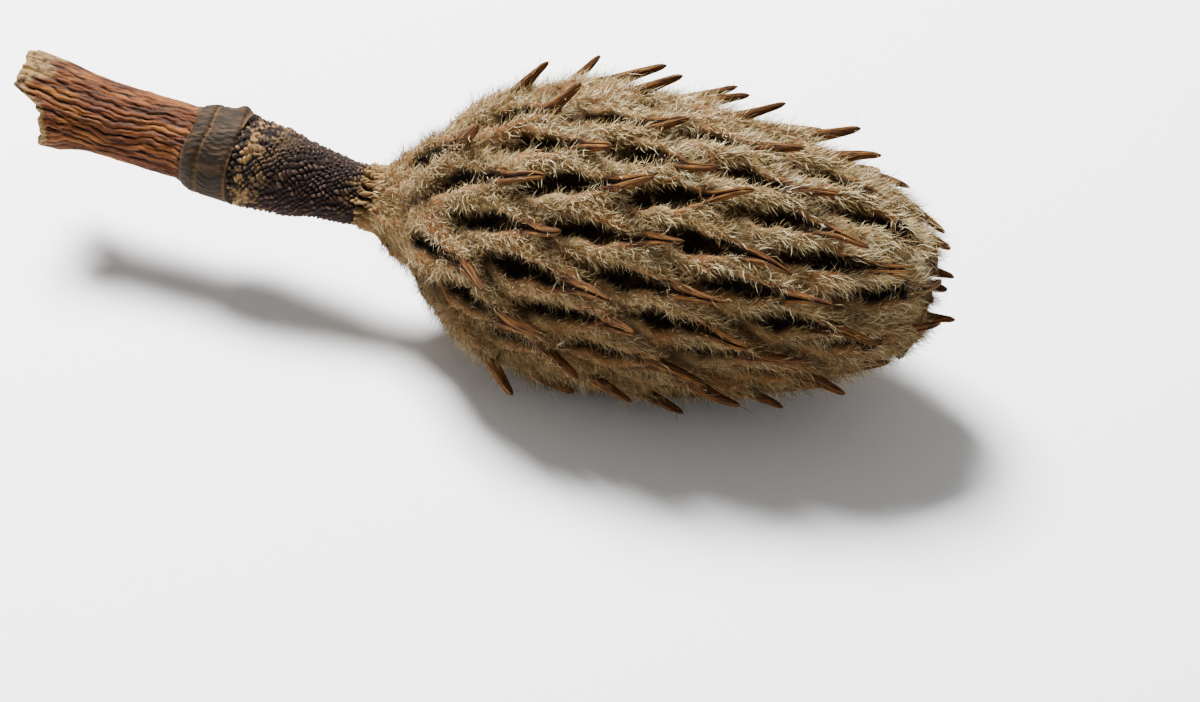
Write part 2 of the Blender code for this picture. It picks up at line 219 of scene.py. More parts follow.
@dataclass
class PodAxis:
    """The pod's bent axis: the stalk swings sideways and lifts away from the head's own line."""

    start: tuple[float, float, float] = (-66.921 * MM, 4.822 * MM, 20.611 * MM)
    length: float = 131.0 * MM
    bend_start: float = 44.0 * MM
    bend_end: float = 60.0 * MM
    swing_deg: float = 5.6
    lift_deg: float = 5.0
    rise_deg: float = 2.5
    step: float = 0.5 * MM

    def __post_init__(self) -> None:
        """Walk the axis in short steps, each along its own direction."""
        self.along = np.arange(0.0, self.length + self.step, self.step)
        share = 1.0 - smooth_step((self.along - self.bend_start) / (self.bend_end - self.bend_start))
        swing = np.radians(self.swing_deg) * share
        rise = np.radians(self.rise_deg) - np.radians(self.lift_deg) * share
        level = np.cos(rise)
        self.forward = np.stack([level * np.cos(swing), -level * np.sin(swing), np.sin(rise)], axis=1)
        middles = (self.forward[1:] + self.forward[:-1]) / 2.0
        walked = np.vstack([np.zeros(3), np.cumsum(middles * self.step, axis=0)])
        self.points = walked + np.array(self.start)

    def _read(self, table: Array, along: Array) -> Array:
        """Three columns of a table, read at distances along the axis."""
        return np.stack([np.interp(along, self.along, column) for column in table.T], axis=-1)

    def frame(self, along: Array) -> tuple[Array, Array, Array, Array]:
        """Give the axis's own frame, which runs straight on before its start.

        Args:
            along: Distances from the start at the broken end.

        Returns:
            Points, and the forward, side and up directions there.
        """
        along = np.asarray(along, dtype=float)
        forward = unit(self._read(self.forward, along))
        side = unit(np.cross(forward, (0.0, 0.0, 1.0)))
        point = self._read(self.points, along) + np.minimum(along, 0.0)[..., None] * forward
        return point, forward, side, np.cross(side, forward)

    def around(self, along: Array, radius: Array, angle: Array) -> Array:
        """Points at a radius and an angle round the axis, the angle from straight up.

        Args:
            along: Distances from the broken end.
            radius: Distances from the axis.
            angle: Angles from up towards the side direction.

        Returns:
            Places, of the arguments' common shape and three columns.
        """
        along, radius, angle = np.broadcast_arrays(along, radius, angle)
        point, _, side, up = self.frame(along)
        radial = np.cos(angle)[..., None] * up + np.sin(angle)[..., None] * side
        return point + radius[..., None] * radial


@dataclass
class HeadOutline:
    """The egg-shaped head's profile over its lips, and that of the core that the seed cases stand on."""

    start: float = 54.5 * MM
    length: float = 76.5 * MM
    neck_start: float = 52.0 * MM
    neck_radius: float = 4.2 * MM
    neck_core_share: float = 0.9
    crest_radius: float = 20.7 * MM
    crest_height: float = 3.5 * MM
    crest_rise: float = 9.0 * MM
    skew: float = 0.765
    power_stalk: float = 0.87
    power_tip: float = 0.32
    least_pitch_deg: float = -60.0
    step: float = 0.125 * MM
    run_on: float = 40.0 * MM
    run_on_step: float = 0.5 * MM

    def __post_init__(self) -> None:
        """Measure the core's profile by its own length.

        Past the tip the profile runs on straight, and its slope is held back there.
        """
        self.along = np.arange(self.neck_start, self.start + self.length, self.step)
        radius = self.core(self.along)
        steps = np.hypot(np.diff(self.along), np.diff(radius))
        self.walked = np.concatenate([[0.0], np.cumsum(steps)])
        slope = np.arctan2(np.gradient(radius), np.gradient(self.along))
        past = np.arange(self.run_on_step, self.run_on, self.run_on_step)
        self.path = np.concatenate([self.walked, self.walked[-1] + past])
        slope = np.concatenate([slope, np.full(len(past), slope[-1])])
        self.slope = np.maximum(slope, math.radians(self.least_pitch_deg))
        pieces = np.diff(self.path)
        self.onward = np.concatenate([[0.0], np.cumsum(pieces * np.cos(self.slope[1:]))])
        self.outward = np.concatenate([[0.0], np.cumsum(pieces * np.sin(self.slope[1:]))])

    def crest(self, along: Array) -> Array:
        """Radius over the lips: a power of a sine, blunt at the stalk and long at the tip.

        Args:
            along: Distances from the broken end.

        Returns:
            Radii, never under the neck's.
        """
        share = np.clip((np.asarray(along) - self.start) / self.length, 0.0, 1.0)
        wave = np.clip(np.sin(np.pi * share**self.skew), 0.0, 1.0)
        power = np.where(share < 0.5 ** (1.0 / self.skew), self.power_stalk, self.power_tip)
        return ((self.crest_radius * wave**power) ** 4 + self.neck_radius**4) ** 0.25

    def core(self, along: Array) -> Array:
        """Radius of the core, a lip's height under the crest and one with the neck.

        Args:
            along: Distances from the broken end.

        Returns:
            Radii of the core.
        """
        share = smooth_step((np.asarray(along) - self.start) / self.crest_rise)
        least = self.neck_radius * self.neck_core_share
        return np.maximum(self.crest(along) - self.crest_height * share, least)

    def walk(self, along: float, distance: Array) -> tuple[Array, Array, Array]:
        """Go a way along the profile from a place on it.

        Args:
            along: The place, as a distance along the axis.
            distance: Ways to go, which may be negative.

        Returns:
            Distances along the axis, radii and slopes there.
        """
        begin = np.interp(along, self.along, self.walked)
        there = begin + distance
        onward = np.interp(there, self.path, self.onward) - np.interp(begin, self.path, self.onward)
        outward = np.interp(there, self.path, self.outward) - np.interp(begin, self.path, self.outward)
        return along + onward, float(self.core(along)) + outward, np.interp(there, self.path, self.slope)


@dataclass(frozen=True)
class SeedCase:
    """One seed case: its place on the spiral and its own small differences."""

    along: float
    angle: float
    share: float
    scale: float
    twist: float
    gape: float
    lift: float
    beak: float
    sideways: float


@dataclass(frozen=True)
class CaseSpiral:
    """The spiral that the seed cases stand on, each with the same share of the surface."""

    cell_area: float = 84.7 * MM * MM
    bare_area: float = 689.0 * MM * MM
    count: int = 92
    area_step: float = 0.25 * MM
    divergence_deg: float = 137.02
    first_angle_deg: float = 20.3
    scale_at_stalk: float = 0.98
    scale_at_tip: float = 0.80
    scale_range: tuple[float, float] = (0.96, 1.05)
    twist_deg: tuple[float, float] = (-7.0, 7.0)
    gape_range: tuple[float, float] = (0.75, 1.2)
    beak_range: tuple[float, float] = (0.8, 1.12)
    sideways_deg: tuple[float, float] = (-12.0, 12.0)
    lift_deg: float = 30.0
    lift_spread_deg: float = 12.0
    tip_from: float = 0.70
    tip_droop_deg: float = 45.0
    tip_shortening: float = 0.35
    seed: int = 11

    def cases(self, outline: HeadOutline) -> list[SeedCase]:
        """Place the cases, with the same seeded draws as the solid head.

        Args:
            outline: The head's profile.

        Returns:
            The cases from the stalk to the tip.
        """
        along = np.arange(outline.start, outline.start + outline.length, self.area_step)
        radius = outline.crest(along)
        slant = np.hypot(np.diff(along), np.diff(radius))
        area = np.concatenate([[0.0], np.cumsum(slant * np.pi * (radius[1:] + radius[:-1]))])
        draw = random.Random(self.seed)
        found = []
        for number in range(self.count):
            where = float(np.interp(self.bare_area + number * self.cell_area, area, along))
            share = (where - outline.start) / outline.length
            scale = self.scale_at_stalk + (self.scale_at_tip - self.scale_at_stalk) * share
            scale *= MM * draw.uniform(*self.scale_range)
            twist = math.radians(draw.uniform(*self.twist_deg))
            gape = draw.uniform(*self.gape_range)
            lift = math.radians(self.lift_deg + draw.uniform(-1.0, 1.0) * self.lift_spread_deg)
            beak = draw.uniform(*self.beak_range)
            sideways = math.radians(draw.uniform(*self.sideways_deg))
            near_tip = float(smooth_step((share - self.tip_from) / (1.0 - self.tip_from)))
            lift -= math.radians(self.tip_droop_deg) * near_tip
            beak *= 1.0 - self.tip_shortening * near_tip
            angle = math.radians(self.first_angle_deg + number * self.divergence_deg)
            found.append(SeedCase(where, angle, share, scale, twist, gape, lift, beak, sideways))
        return found


@dataclass
class CasePlacer:
    """Carries a seed case's own measures, in millimetres at full size, onto the head."""

    axis: PodAxis
    outline: HeadOutline
    pressed_from: float = 0.45

    def frame(self, case: SeedCase, x: Array) -> tuple[Array, Array, Array, Array]:
        """Give the case's own frame at places along it.

        Args:
            case: The seed case.
            x: Places along it.

        Returns:
            Points on the core, and the onward, across and outward directions there.
        """
        where, radius, slope = self.outline.walk(case.along, np.asarray(x) * case.scale)
        point, forward, side, up = self.axis.frame(where)
        radial = math.cos(case.angle) * up + math.sin(case.angle) * side
        lean, rise = np.cos(slope)[..., None], np.sin(slope)[..., None]
        onward = lean * forward + rise * radial
        outward = lean * radial - rise * forward
        return point + radius[..., None] * radial, onward, np.cross(outward, onward), outward

    def place(self, case: SeedCase, x: Array, y: Array, z: Array) -> Array:
        """Carry points of the case onto the head.

        Args:
            case: The seed case.
            x: Places along it.
            y: Places across it.
            z: Heights over the core.

        Returns:
            Places in metres.
        """
        point, _, across, outward = self.frame(case, x)
        swung = (y + x * math.tan(case.twist))[..., None]
        return point + case.scale * (swung * across + np.asarray(z)[..., None] * outward)

    def seen_from(self, other: SeedCase, case: SeedCase, x: Array, y: Array) -> tuple[Array, Array]:
        """Read a case's own places in another case's measures.

        The way along is the difference of their ways along the core's profile, and the way across
        is the difference of their angles times the radius there.

        Args:
            other: The case whose measures are asked for.
            case: The case that the places belong to.
            x: Places along it.
            y: Places across it.

        Returns:
            Places along and across the other case.
        """
        _, radius, _ = self.outline.walk(case.along, x * case.scale)
        begin, there = np.interp([other.along, case.along], self.outline.along, self.outline.walked)
        along = (there - begin + x * case.scale) / other.scale
        angle = case.angle - (y + x * math.tan(case.twist)) * case.scale / radius - other.angle
        angle = np.mod(angle + np.pi, 2.0 * np.pi) - np.pi
        return along, -angle * radius / other.scale - along * math.tan(other.twist)

    def beak_frame(self, case: SeedCase, root: tuple[float, float]) -> tuple[Array, ...]:
        """Give the beak's root and directions, pressed down where the pod lies on it.

        Args:
            case: The seed case.
            root: Place along the case and height of the beak's root.

        Returns:
            The root, and the ahead, across and above directions.
        """
        x = np.array(root[0])
        start = self.place(case, x, np.array(0.0), np.array(root[1]))
        _, onward, across, outward = self.frame(case, x)
        pressed = smooth_step((-outward[2] - self.pressed_from) / (1.0 - self.pressed_from))
        lift = case.lift * (1.0 - float(pressed))
        ahead = math.cos(lift) * onward + math.sin(lift) * outward
        above = math.cos(lift) * outward - math.sin(lift) * onward
        return start, unit(ahead + math.sin(case.sideways) * across), across, above


class Nodes:
    """A small set of ways to lay out one material's nodes."""

    # numbers of the mix node's colour sockets, which share their names with its other sockets
    MIX_INPUTS = (6, 7)
    MIX_OUTPUT = 2

    def __init__(self, name: str, roughness: float, specular: float = 0.5) -> None:
        """Start a material with its Principled shader.

        Args:
            name: Name of the material.
            roughness: The shader's roughness.
            specular: Strength of its mirror-like reflection.
        """
        self.material = bpy.data.materials.new(name)
        self.material.use_nodes = True
        self.tree = self.material.node_tree
        self.shader = self.tree.nodes["Principled BSDF"]
        settings = {"Roughness": roughness, "Specular IOR Level": specular, "Metallic": 0.0}
        for socket, setting in settings.items():
            self.shader.inputs[socket].default_value = setting

    def add(self, kind: str, **inputs: object) -> bpy.types.Node:
        """Add a node, linking sockets and setting numbers by input name.

        Args:
            kind: Type name of the node.
            inputs: Sockets or values by input name, with _ for a space.

        Returns:
            The node.
        """
        node = self.tree.nodes.new(kind)
        for name, value in inputs.items():
            socket = node.inputs[name.replace("_", " ")]
            self._feed(socket, value)
        return node

    def _feed(self, socket: Socket, value: object) -> None:
        """Link a socket to another one, or set it.

        Args:
            socket: The input.
            value: A socket to link it to, or its new value.
        """
        if isinstance(value, Socket):
            self.tree.links.new(value, socket)
        else:
            socket.default_value = value

    def places(self, lengthwise: float = 1.0) -> Socket:
        """Read Object coordinates.

        Args:
            lengthwise: Factor along the pod; a small one draws a pattern out along it.

        Returns:
            The scaled coordinates' socket.
        """
        stretch = (lengthwise, 1.0, 1.0)
        coordinates = self.tree.nodes.new("ShaderNodeTexCoord")
        mapping = self.add("ShaderNodeMapping", Vector=coordinates.outputs["Object"], Scale=stretch)
        return mapping.outputs["Vector"]

    def noise(self, places: Socket, scale: float, detail: float = 3.0) -> Socket:
        """Fractal noise of a scale, as a number around one half."""
        node = self.add("ShaderNodeTexNoise", Vector=places, Scale=scale, Detail=detail)
        return node.outputs["Fac"]

    def value(self, name: str) -> Socket:
        """Read the piece's own vertex values.

        Args:
            name: Name of the values.

        Returns:
            The values' socket.
        """
        node = self.tree.nodes.new("ShaderNodeAttribute")
        node.attribute_name = name
        return node.outputs["Fac"]

    def ramp(self, amount: Socket, low: float, high: float) -> Socket:
        """Turn a range of numbers into shares, smoothly.

        Args:
            amount: The number.
            low: What gives 0, as anything under it does.
            high: What gives 1, as anything over it does.

        Returns:
            The share's socket.
        """
        node = self.add("ShaderNodeMapRange", Value=amount, From_Min=low, From_Max=high)
        node.interpolation_type = "SMOOTHSTEP"
        return node.outputs["Result"]

    def patches(
        self, scale: float, low: float, high: float, lengthwise: float = 1.0, detail: float = 3.0
    ) -> Socket:
        """Make soft-edged patches, or streaks along the pod, of noise.

        Args:
            scale: Scale of the noise.
            low: Noise that gives 0.
            high: Noise that gives 1.
            lengthwise: Factor along the pod; a small one makes streaks.
            detail: Detail of the noise.

        Returns:
            The patches' share.
        """
        return self.ramp(self.noise(self.places(lengthwise), scale, detail), low, high)

    def times(self, amount: Socket, factor: float | Socket) -> Socket:
        """Multiply two numbers.

        Args:
            amount: A number's socket.
            factor: A number, or its socket.

        Returns:
            The product's socket.
        """
        node = self.tree.nodes.new("ShaderNodeMath")
        node.operation = "MULTIPLY"
        self._feed(node.inputs[0], amount)
        self._feed(node.inputs[1], factor)
        return node.outputs["Value"]

    def mix(self, amount: Socket, low: Colour | Socket, high: Colour | Socket) -> Socket:
        """Blend two colours.

        Args:
            amount: 0 for the low colour, 1 for the high one.
            low: A colour or a colour socket.
            high: A colour or a colour socket.

        Returns:
            The blend's colour socket.
        """
        node = self.tree.nodes.new("ShaderNodeMix")
        node.data_type = "RGBA"
        self.tree.links.new(amount, node.inputs["Factor"])
        for number, value in zip(self.MIX_INPUTS, (low, high)):
            self._feed(node.inputs[number], value if isinstance(value, Socket) else (*value, 1.0))
        return node.outputs[self.MIX_OUTPUT]

    def bump(self, height: Socket, strength: float, distance: float) -> None:
        """Raise the surface by a height, in metres at full strength."""
        node = self.add("ShaderNodeBump", Height=height, Strength=strength, Distance=distance)
        self.tree.links.new(node.outputs["Normal"], self.shader.inputs["Normal"])

    def roughen(self, scale: float, strength: float, distance: float, lengthwise: float = 1.0) -> None:
        """Raise the surface by fine noise.

        Args:
            scale: Scale of the noise.
            strength: Share of the height that is used.
            distance: Height at full strength, in metres.
            lengthwise: Factor along the pod; a small one draws the noise out along it.
        """
        self.bump(self.noise(self.places(lengthwise), scale), strength, distance)

    def paint(self, colour: Socket) -> bpy.types.Material:
        """Give the shader its colour, and the material back."""
        self.tree.links.new(colour, self.shader.inputs["Base Color"])
        return self.material


@dataclass(frozen=True)
class HuskFinish:
    """Felted husk under the wool: tan lips, painted shade in the creases, a dark slit deepened by painted
    shade and bare horn at the beak's foot.
    """

    felt: Colour = (0.14, 0.086, 0.034)
    rust: Colour = (0.13, 0.054, 0.016)
    # painted shade for the low parts between the lips
    crease_shade: Colour = (0.024, 0.013, 0.006)
    # dark inside of the slit, deepened by painted shade with depth
    slit: Colour = (0.009, 0.006, 0.004)
    horn: Colour = (0.10, 0.036, 0.013)
    roughness: float = 0.85
    specular: float = 0.15

    def make(self) -> bpy.types.Material:
        """Blend felt and rust by noise, then painted crease shade by height, bare horn by the beak and the
        slit by depth, its own dark colour deepened by painted shade.

        Returns:
            The material.
        """
        nodes = Nodes("husk_felt", self.roughness, self.specular)
        colour = nodes.mix(nodes.patches(160.0, 0.4, 0.65), self.felt, self.rust)
        # painted shade: low parts of the husk, between the lips, darken to the crease colour
        colour = nodes.mix(nodes.ramp(nodes.value("height"), 0.0, 0.75), self.crease_shade, colour)
        colour = nodes.mix(nodes.value("bare"), colour, self.horn)
        # the slit's dark inside, darker with depth as painted shade
        colour = nodes.mix(nodes.ramp(nodes.value("slit"), 0.05, 0.45), colour, self.slit)
        nodes.roughen(2600.0, 0.5, 0.3 * MM)
        return nodes.paint(colour)


@dataclass(frozen=True)
class WoolFinish:
    """Short wool: brown at its roots, cream or straw at its tips, rusty near the neck, with painted shade in
    the creases and on the lower side.
    """

    root: Colour = (0.070, 0.037, 0.013)
    brown: Colour = (0.13, 0.070, 0.025)
    straw: Colour = (0.48, 0.34, 0.135)
    cream: Colour = (0.94, 0.84, 0.55)
    rust: Colour = (0.42, 0.18, 0.040)
    shade: Colour = (0.052, 0.027, 0.010)
    roughness: float = 0.75
    specular: float = 0.2

    def make(self) -> bpy.types.Material:
        """Blend the hair's tint, which holds painted light and shade as well as its own tone, the rusty
        blush, the painted shade of creases and the lower side, and the reach from the root.

        Returns:
            The material.
        """
        nodes = Nodes("wool", self.roughness, self.specular)
        # partly the hair's own tone and partly painted light: paler on crests and the upper side, browner in
        # creases and below
        tint = nodes.value("tint")
        colour = nodes.mix(nodes.ramp(tint, 0.0, 0.45), self.brown, self.straw)
        colour = nodes.mix(nodes.ramp(tint, 0.4, 1.0), colour, self.cream)
        colour = nodes.mix(nodes.times(nodes.patches(90.0, 0.42, 0.7), 0.4), colour, self.straw)
        colour = nodes.mix(nodes.value("blush"), colour, self.rust)
        # painted shade: hairs in creases and on the lower side darken to the shade colour
        colour = nodes.mix(nodes.value("lit"), self.shade, colour)
        colour = nodes.mix(nodes.ramp(nodes.value("reach"), 0.0, 0.6), self.root, colour)
        return nodes.paint(colour)


@dataclass(frozen=True)
class BeakFinish:
    """Bare beak: red-brown flanks with fine lengthwise fibres, and paler edges."""

    flank: Colour = (0.120, 0.045, 0.010)
    dark: Colour = (0.014, 0.006, 0.003)
    edge: Colour = (0.21, 0.090, 0.020)
    roughness: float = 0.8
    specular: float = 0.12

    def make(self) -> bpy.types.Material:
        """Blend dark fibres into the flanks, then pale edges, a dark groove and a dark root.

        The fibres are noise on the beak's own measures, drawn out along it.

        Returns:
            The material.
        """
        nodes = Nodes("bare_beak", self.roughness, self.specular)
        along = nodes.times(nodes.value("reach"), 2.5)
        around = nodes.times(nodes.value("around"), 9.0)
        own = nodes.times(nodes.value("own"), 90.0)
        measures = nodes.add("ShaderNodeCombineXYZ", X=along, Y=around, Z=own).outputs["Vector"]
        fibres = nodes.noise(measures, 2.2, 4.0)
        colour = nodes.mix(nodes.ramp(fibres, 0.36, 0.62), self.dark, self.flank)
        pale_rims = nodes.times(nodes.ramp(nodes.value("edge"), 0.3, 0.95), nodes.ramp(fibres, 0.45, 0.62))
        colour = nodes.mix(pale_rims, colour, self.edge)
        colour = nodes.mix(nodes.times(nodes.value("groove"), 0.9), colour, self.dark)
        colour = nodes.mix(nodes.ramp(nodes.value("reach"), 0.1, 0.65), self.dark, colour)
        nodes.bump(fibres, 0.9, 0.4 * MM)
        return nodes.paint(colour)


@dataclass(frozen=True)
class ScarFinish:
    """Warty band: near-black pits of painted shade, painted highlights on some bump tops and tan flecks by
    its margins.
    """

    pit_shade: Colour = (0.004, 0.002, 0.001)
    bump_side: Colour = (0.015, 0.007, 0.005)
    bump_highlight: Colour = (0.070, 0.040, 0.026)
    fleck: Colour = (0.22, 0.130, 0.050)
    roughness: float = 0.75
    specular: float = 0.15

    def make(self) -> bpy.types.Material:
        """Blend painted pit shade, side and painted top highlight by height, with flecks where noise and
        margin meet.

        Returns:
            The material.
        """
        nodes = Nodes("warty_bark", self.roughness, self.specular)
        height = nodes.value("height")
        # painted shade: the low pits between bumps darken nearly to black
        colour = nodes.mix(nodes.ramp(height, 0.05, 0.5), self.pit_shade, self.bump_side)
        # painted highlight: the tops of some bumps, chosen by their own random number, turn pale brown
        painted_highlight = nodes.times(nodes.ramp(height, 0.62, 1.0), nodes.ramp(nodes.value("own"), 0.0, 1.0))
        colour = nodes.mix(painted_highlight, colour, self.bump_highlight)
        flecks = nodes.times(nodes.patches(520.0, 0.50, 0.60), nodes.value("margin"))
        colour = nodes.mix(flecks, colour, self.fleck)
        nodes.roughen(3200.0, 0.5, 0.2 * MM)
        return nodes.paint(colour)


@dataclass(frozen=True)
class BarkFinish:
    """Stalk bark: copper ridges with painted shade in the furrows, a grey-brown collar and a pale torn end.
    """

    copper: Colour = (0.068, 0.018, 0.004)
    tan: Colour = (0.18, 0.062, 0.012)
    furrow_shade: Colour = (0.009, 0.003, 0.001)
    collar: Colour = (0.012, 0.007, 0.003)
    collar_light: Colour = (0.040, 0.021, 0.009)
    seam: Colour = (0.095, 0.052, 0.020)
    torn: Colour = (0.165, 0.098, 0.034)
    torn_dark: Colour = (0.040, 0.020, 0.007)
    roughness: float = 0.7
    specular: float = 0.12

    def make(self) -> bpy.types.Material:
        """Blend copper and tan streaks, then painted furrow shade in thin streaks and by ridge height, then
        the collar's, its seams' and the torn end's own shares.

        Returns:
            The material.
        """
        nodes = Nodes("copper_bark", self.roughness, self.specular)
        colour = nodes.mix(nodes.patches(620.0, 0.42, 0.68, 0.18), self.copper, self.tan)
        # painted shade: thin dark streaks along the stalk stand for shaded furrows
        shade_streaks = nodes.patches(1700.0, 0.52, 0.66, 0.06, 2.0)
        colour = nodes.mix(nodes.times(shade_streaks, 0.85), colour, self.furrow_shade)
        grey = nodes.mix(nodes.patches(900.0, 0.45, 0.7, 0.3), self.collar, self.collar_light)
        grey = nodes.mix(nodes.times(nodes.value("seam"), 0.6), grey, self.seam)
        # painted shade: the bark darkens to the furrow colour where the ridge height is low
        colour = nodes.mix(nodes.ramp(nodes.value("height"), 0.38, 0.86), self.furrow_shade, colour)
        colour = nodes.mix(nodes.value("collar"), colour, grey)
        pale = nodes.mix(nodes.patches(900.0, 0.36, 0.56), self.torn_dark, self.torn)
        colour = nodes.mix(nodes.value("torn"), colour, pale)
        nodes.roughen(2600.0, 0.7, 0.3 * MM, 0.25)
        return nodes.paint(colour)


@dataclass(frozen=True)
class NeckFinish:
    """Neck strings and the core between the cases: tan strands with painted shade in the gaps between them
    and on the sunk core, rusty towards the head.
    """

    strand: Colour = (0.19, 0.115, 0.045)
    # painted shade for the gaps between strings and the sunk core
    gap: Colour = (0.010, 0.005, 0.003)
    rust: Colour = (0.23, 0.090, 0.022)
    roughness: float = 0.8
    specular: float = 0.2

    def make(self) -> bpy.types.Material:
        """Blend the painted shade of the gaps, strand and rust by height and by the way along.

        Returns:
            The material.
        """
        nodes = Nodes("neck_strings", self.roughness, self.specular)
        # painted shade: low places, between the strings and on the core between the cases, darken nearly to
        # black
        colour = nodes.mix(nodes.ramp(nodes.value("height"), 0.28, 0.8), self.gap, self.strand)
        patches = nodes.patches(500.0, 0.35, 0.65)
        colour = nodes.mix(nodes.times(nodes.value("blush"), patches), colour, self.rust)
        nodes.roughen(2600.0, 0.5, 0.2 * MM, 0.3)
        return nodes.paint(colour)


class Node(Enum):
    """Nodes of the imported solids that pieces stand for."""

    STALK = "stalk"
    BAND = "scar_band"
    HEAD = "seed_head"


class Slot(Enum):
    """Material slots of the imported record."""

    BARK = "dry_bark"
    SCARS = "scarred_bark"
    HUSK = "woolly_husk"


def settle(piece: bpy.types.Object, finish: bpy.types.Material, node: Node) -> None:
    """Dress a piece, let it stand for its node and report it.

    Args:
        piece: The finished object.
        finish: Its material.
        node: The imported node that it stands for.
    """
    piece.data.materials.append(finish)
    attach(piece, "root")
    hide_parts(node.value)
    log.info("%s: %d faces", piece.name, len(piece.data.polygons))


@dataclass
class HuskSurface:
    """What wool needs to know of the surface that it grows on."""

    points: Array
    faces: Array
    onward: Array
    across: Array
    values: dict[str, Array]
    share: Array

    def with_more(self, other: HuskSurface) -> HuskSurface:
        """Join two surfaces into one, with the first one's kinds of values.

        Args:
            other: The surface to add.

        Returns:
            The joined surface.
        """
        pairs = zip(
            (self.points, self.onward, self.across, self.share),
            (other.points, other.onward, other.across, other.share),
        )
        points, onward, across, share = (np.concatenate(pair) for pair in pairs)
        values = {key: np.concatenate([value, other.values[key]]) for key, value in self.values.items()}
        faces = np.vstack([self.faces, other.faces + len(self.points)])
        return HuskSurface(points, faces, onward, across, values, share)

    def normals(self) -> tuple[Array, Array]:
        """Measure the faces.

        Returns:
            Each face's outward direction, and its area.
        """
        a, b, c = (self.points[self.faces[:, k]] for k in range(3))
        crossed = np.cross(b - a, c - a)
        doubled = np.linalg.norm(crossed, axis=1)
        return crossed / np.maximum(doubled, 1e-15)[:, None], doubled / 2.0


@dataclass(frozen=True)
class CoverTest:
    """The test for faces that no other case covers, by a ray from each face away from the axis."""

    ray_length: float = 20.0 * MM
    above_face_mm: float = 0.04
    least_area: float = 1e-12
    least_facing: float = -0.25
    above_floor: float = 0.35 * MM
    deepest_slit: float = 0.5
    # near the tip a ray points away from a place that far behind on the axis, so it leans forward
    behind_at_tip: float = 16.0 * MM
    tip_from: float = 0.84
    tip_over: float = 0.14

    def open_faces(self, surface: HuskSurface, axis: PodAxis) -> Array:
        """Find the faces that lie open.

        A ray leaves a covering solid through a face that points the ray's own way, so such a hit
        means that the face is inside.

        Args:
            surface: The surface of all cases.
            axis: The pod's axis.

        Returns:
            True for each open face.
        """
        tree = BVHTree.FromPolygons(surface.points.tolist(), surface.faces.tolist())
        centres = surface.points[surface.faces].mean(axis=1)
        normals, area = surface.normals()
        along = (centres - axis.points[0]) @ unit(axis.forward[-1])
        behind = self.behind_at_tip * smooth_step((along / axis.length - self.tip_from) / self.tip_over)
        away = unit(centres - axis.frame(np.clip(along - behind, 0.0, axis.length))[0])
        wanted = (area > self.least_area) & (np.einsum("ij,ij->i", normals, away) > self.least_facing)
        slit = surface.values["slit"][surface.faces].mean(axis=1)
        wanted &= (centres[:, 2] > self.above_floor) & (slit < self.deepest_slit)
        found = np.zeros(len(centres), bool)
        starts = centres + normals * self.above_face_mm * MM
        for index in np.flatnonzero(wanted):
            ray = Vector(away[index])
            hit, normal, _, _ = tree.ray_cast(Vector(starts[index]), ray, self.ray_length)
            found[index] = hit is None or normal.dot(ray) < 0.0
        return found


@dataclass
class CaseShells:
    """Closed shells, one for each seed case, gathered into a piece and a surface for wool."""

    above_floor: float = 0.1 * MM
    parts: MeshParts = field(default_factory=MeshParts)
    onward: list[Array] = field(default_factory=list)
    across: list[Array] = field(default_factory=list)
    share: list[Array] = field(default_factory=list)

    def add(
        self, case: SeedCase, grid: Array, values: dict[str, Array], onward: Array, across: Array
    ) -> None:
        """Close a grid of rings at both ends and append it.

        Args:
            case: The seed case that it belongs to.
            grid: Vertices as (stations, ring, 3).
            values: Named values of the same grid.
            onward: Direction along the case at each station.
            across: Direction across the case at each station.
        """
        shape = grid.shape[:2]
        ends = grid[[0, -1]].mean(axis=1)
        points = press_flat(np.vstack([grid.reshape(-1, 3), ends]), self.above_floor)
        closed = {}
        for name, value in values.items():
            closed[name] = with_caps(value, shape, *value[[0, -1]].mean(axis=1))
        self.parts.add(points, tube_faces(*shape), **closed)
        for ways, store in ((onward, self.onward), (across, self.across)):
            store.append(np.vstack([np.repeat(ways, shape[1], axis=0), ways[:1], ways[-1:]]))
        self.share.append(np.full(len(points), case.share))

    def make(self, name: str) -> tuple[bpy.types.Object, HuskSurface]:
        """Turn the shells into one piece.

        Args:
            name: Name of the piece.

        Returns:
            The piece, and its surface for wool to grow on.
        """
        surface = HuskSurface(
            np.vstack(self.parts.points),
            np.vstack(self.parts.faces),
            np.vstack(self.onward),
            np.vstack(self.across),
            {key: np.concatenate(value) for key, value in self.parts.values.items()},
            np.concatenate(self.share),
        )
        return self.parts.make(name), surface


